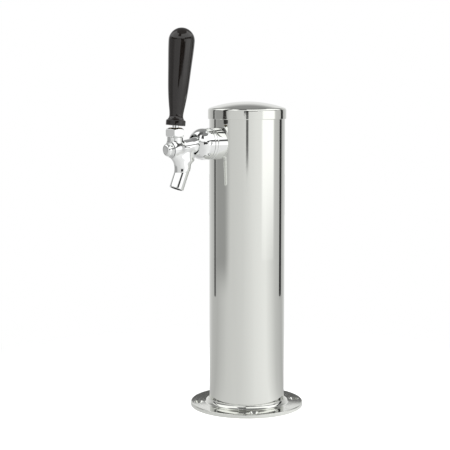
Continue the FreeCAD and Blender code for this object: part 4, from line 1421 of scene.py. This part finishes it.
class TOWER_OT_handle(bpy.types.Operator):
    """Black handle: foot ring, waist and pear-shaped grip"""

    bl_idname = "tower.handle"
    bl_label = "Handle"

    def execute(self, context):
        size = context.scene.tower_handle
        pocket = 6.3 * MM
        pocket_depth = 9.7 * MM
        stud_hole = 4.85 * MM
        stud_depth = 13 * MM
        crown = size.length - size.top
        waist = size.waist
        heights = [size.waist_rise, 17 * MM, 28 * MM, 0.6 * size.length, crown]
        radii = [waist, waist + 0.85 * MM, waist + 2.4 * MM, (waist + size.top) / 2 + 1.6 * MM, size.top]
        grip = curve_through([heights[0] - 3 * MM] + heights + [crown + 12 * MM],
                             [waist + 0.05 * MM] + radii + [size.top])
        foot, shoulder = size.foot, size.foot_height
        under, over = 0.6 * MM, 1.2 * MM
        outline = [(pocket, 0)] + arc((foot - under, under), under, 270, 360, 6)
        outline += arc((foot - over, shoulder - over), over, 0, 80, 8)
        hollow = np.linspace(0, 1, 9)[1:-1]
        start = outline[-1]
        for t in hollow:
            bow = (1 - t) ** 2.2
            outline.append((waist + (start[0] - waist) * bow, start[1] + (size.waist_rise - start[1]) * t))
        grip_heights = np.linspace(size.waist_rise, crown, 46)
        outline += [(float(grip(np.array([h]))[0]), float(h)) for h in grip_heights]
        outline += arc((0, crown), size.top, 0, 90, 24)[1:-1] + [(0.0, size.length)]
        outline += [(0, stud_depth), (stud_hole, stud_depth)]
        outline += [(stud_hole, pocket_depth), (pocket, pocket_depth)]
        outline = [(r, h + size.rise) for r, h in outline]
        place = in_line(-PIVOT.y, PIVOT.z, -size.lean)
        handle = piece("handle", turned(outline, 160), place, crease=50)
        finish_piece(handle, material_for("black_handle"), "lever", "tap_handle")
        return {"FINISHED"}


class TOWER_OT_inside(bpy.types.Operator):
    """Finishes of the pieces that keep their CAD shape"""

    bl_idname = "tower.inside"
    bl_label = "Inner pieces"

    def execute(self, context):
        replaced = {"column_tube", "base_flange", "tower_cap", "saddle_collar", "shank", "coupling_nut",
                    "faucet_body", "front_plug", "bonnet_nut", "lever", "tap_handle"}
        for name, node in frame["nodes"].items():
            if name not in replaced:
                node.data.materials.clear()
                node.data.materials.append(material_for(slot_of(name)))
        return {"FINISHED"}


STEPS = (
    TOWER_OT_stage, TOWER_OT_column, TOWER_OT_base, TOWER_OT_cap, TOWER_OT_shank, TOWER_OT_coupling,
    TOWER_OT_faucet, TOWER_OT_plug, TOWER_OT_bonnet, TOWER_OT_lever, TOWER_OT_handle, TOWER_OT_inside,
)
GROUPS = {
    "tower_column": ColumnSizes,
    "tower_tap": TapSizes,
    "tower_handle": HandleSizes,
    "tower_finishes": Finishes,
    "tower_studio": Studio,
}


class TOWER_PT_panel(bpy.types.Panel):
    """Lists the steps that build the tower"""

    bl_idname = "TOWER_PT_panel"
    bl_label = "Beer tower"
    bl_space_type = "VIEW_3D"
    bl_region_type = "UI"
    bl_category = "Beer tower"

    def draw(self, context):
        for step in STEPS:
            self.layout.operator(step.bl_idname)


def register():
    for group in GROUPS.values():
        bpy.utils.register_class(group)
    for step in STEPS:
        bpy.utils.register_class(step)
    bpy.utils.register_class(TOWER_PT_panel)
    for name, group in GROUPS.items():
        setattr(bpy.types.Scene, name, PointerProperty(type=group))


def unregister():
    for name in GROUPS:
        delattr(bpy.types.Scene, name)
    bpy.utils.unregister_class(TOWER_PT_panel)
    for step in reversed(STEPS):
        bpy.utils.unregister_class(step)
    for group in reversed(list(GROUPS.values())):
        bpy.utils.unregister_class(group)


def main():
    register()
    for step in STEPS:
        family, name = step.bl_idname.split(".")
        getattr(getattr(bpy.ops, family), name)()


if __name__ == "__main__":
    main()
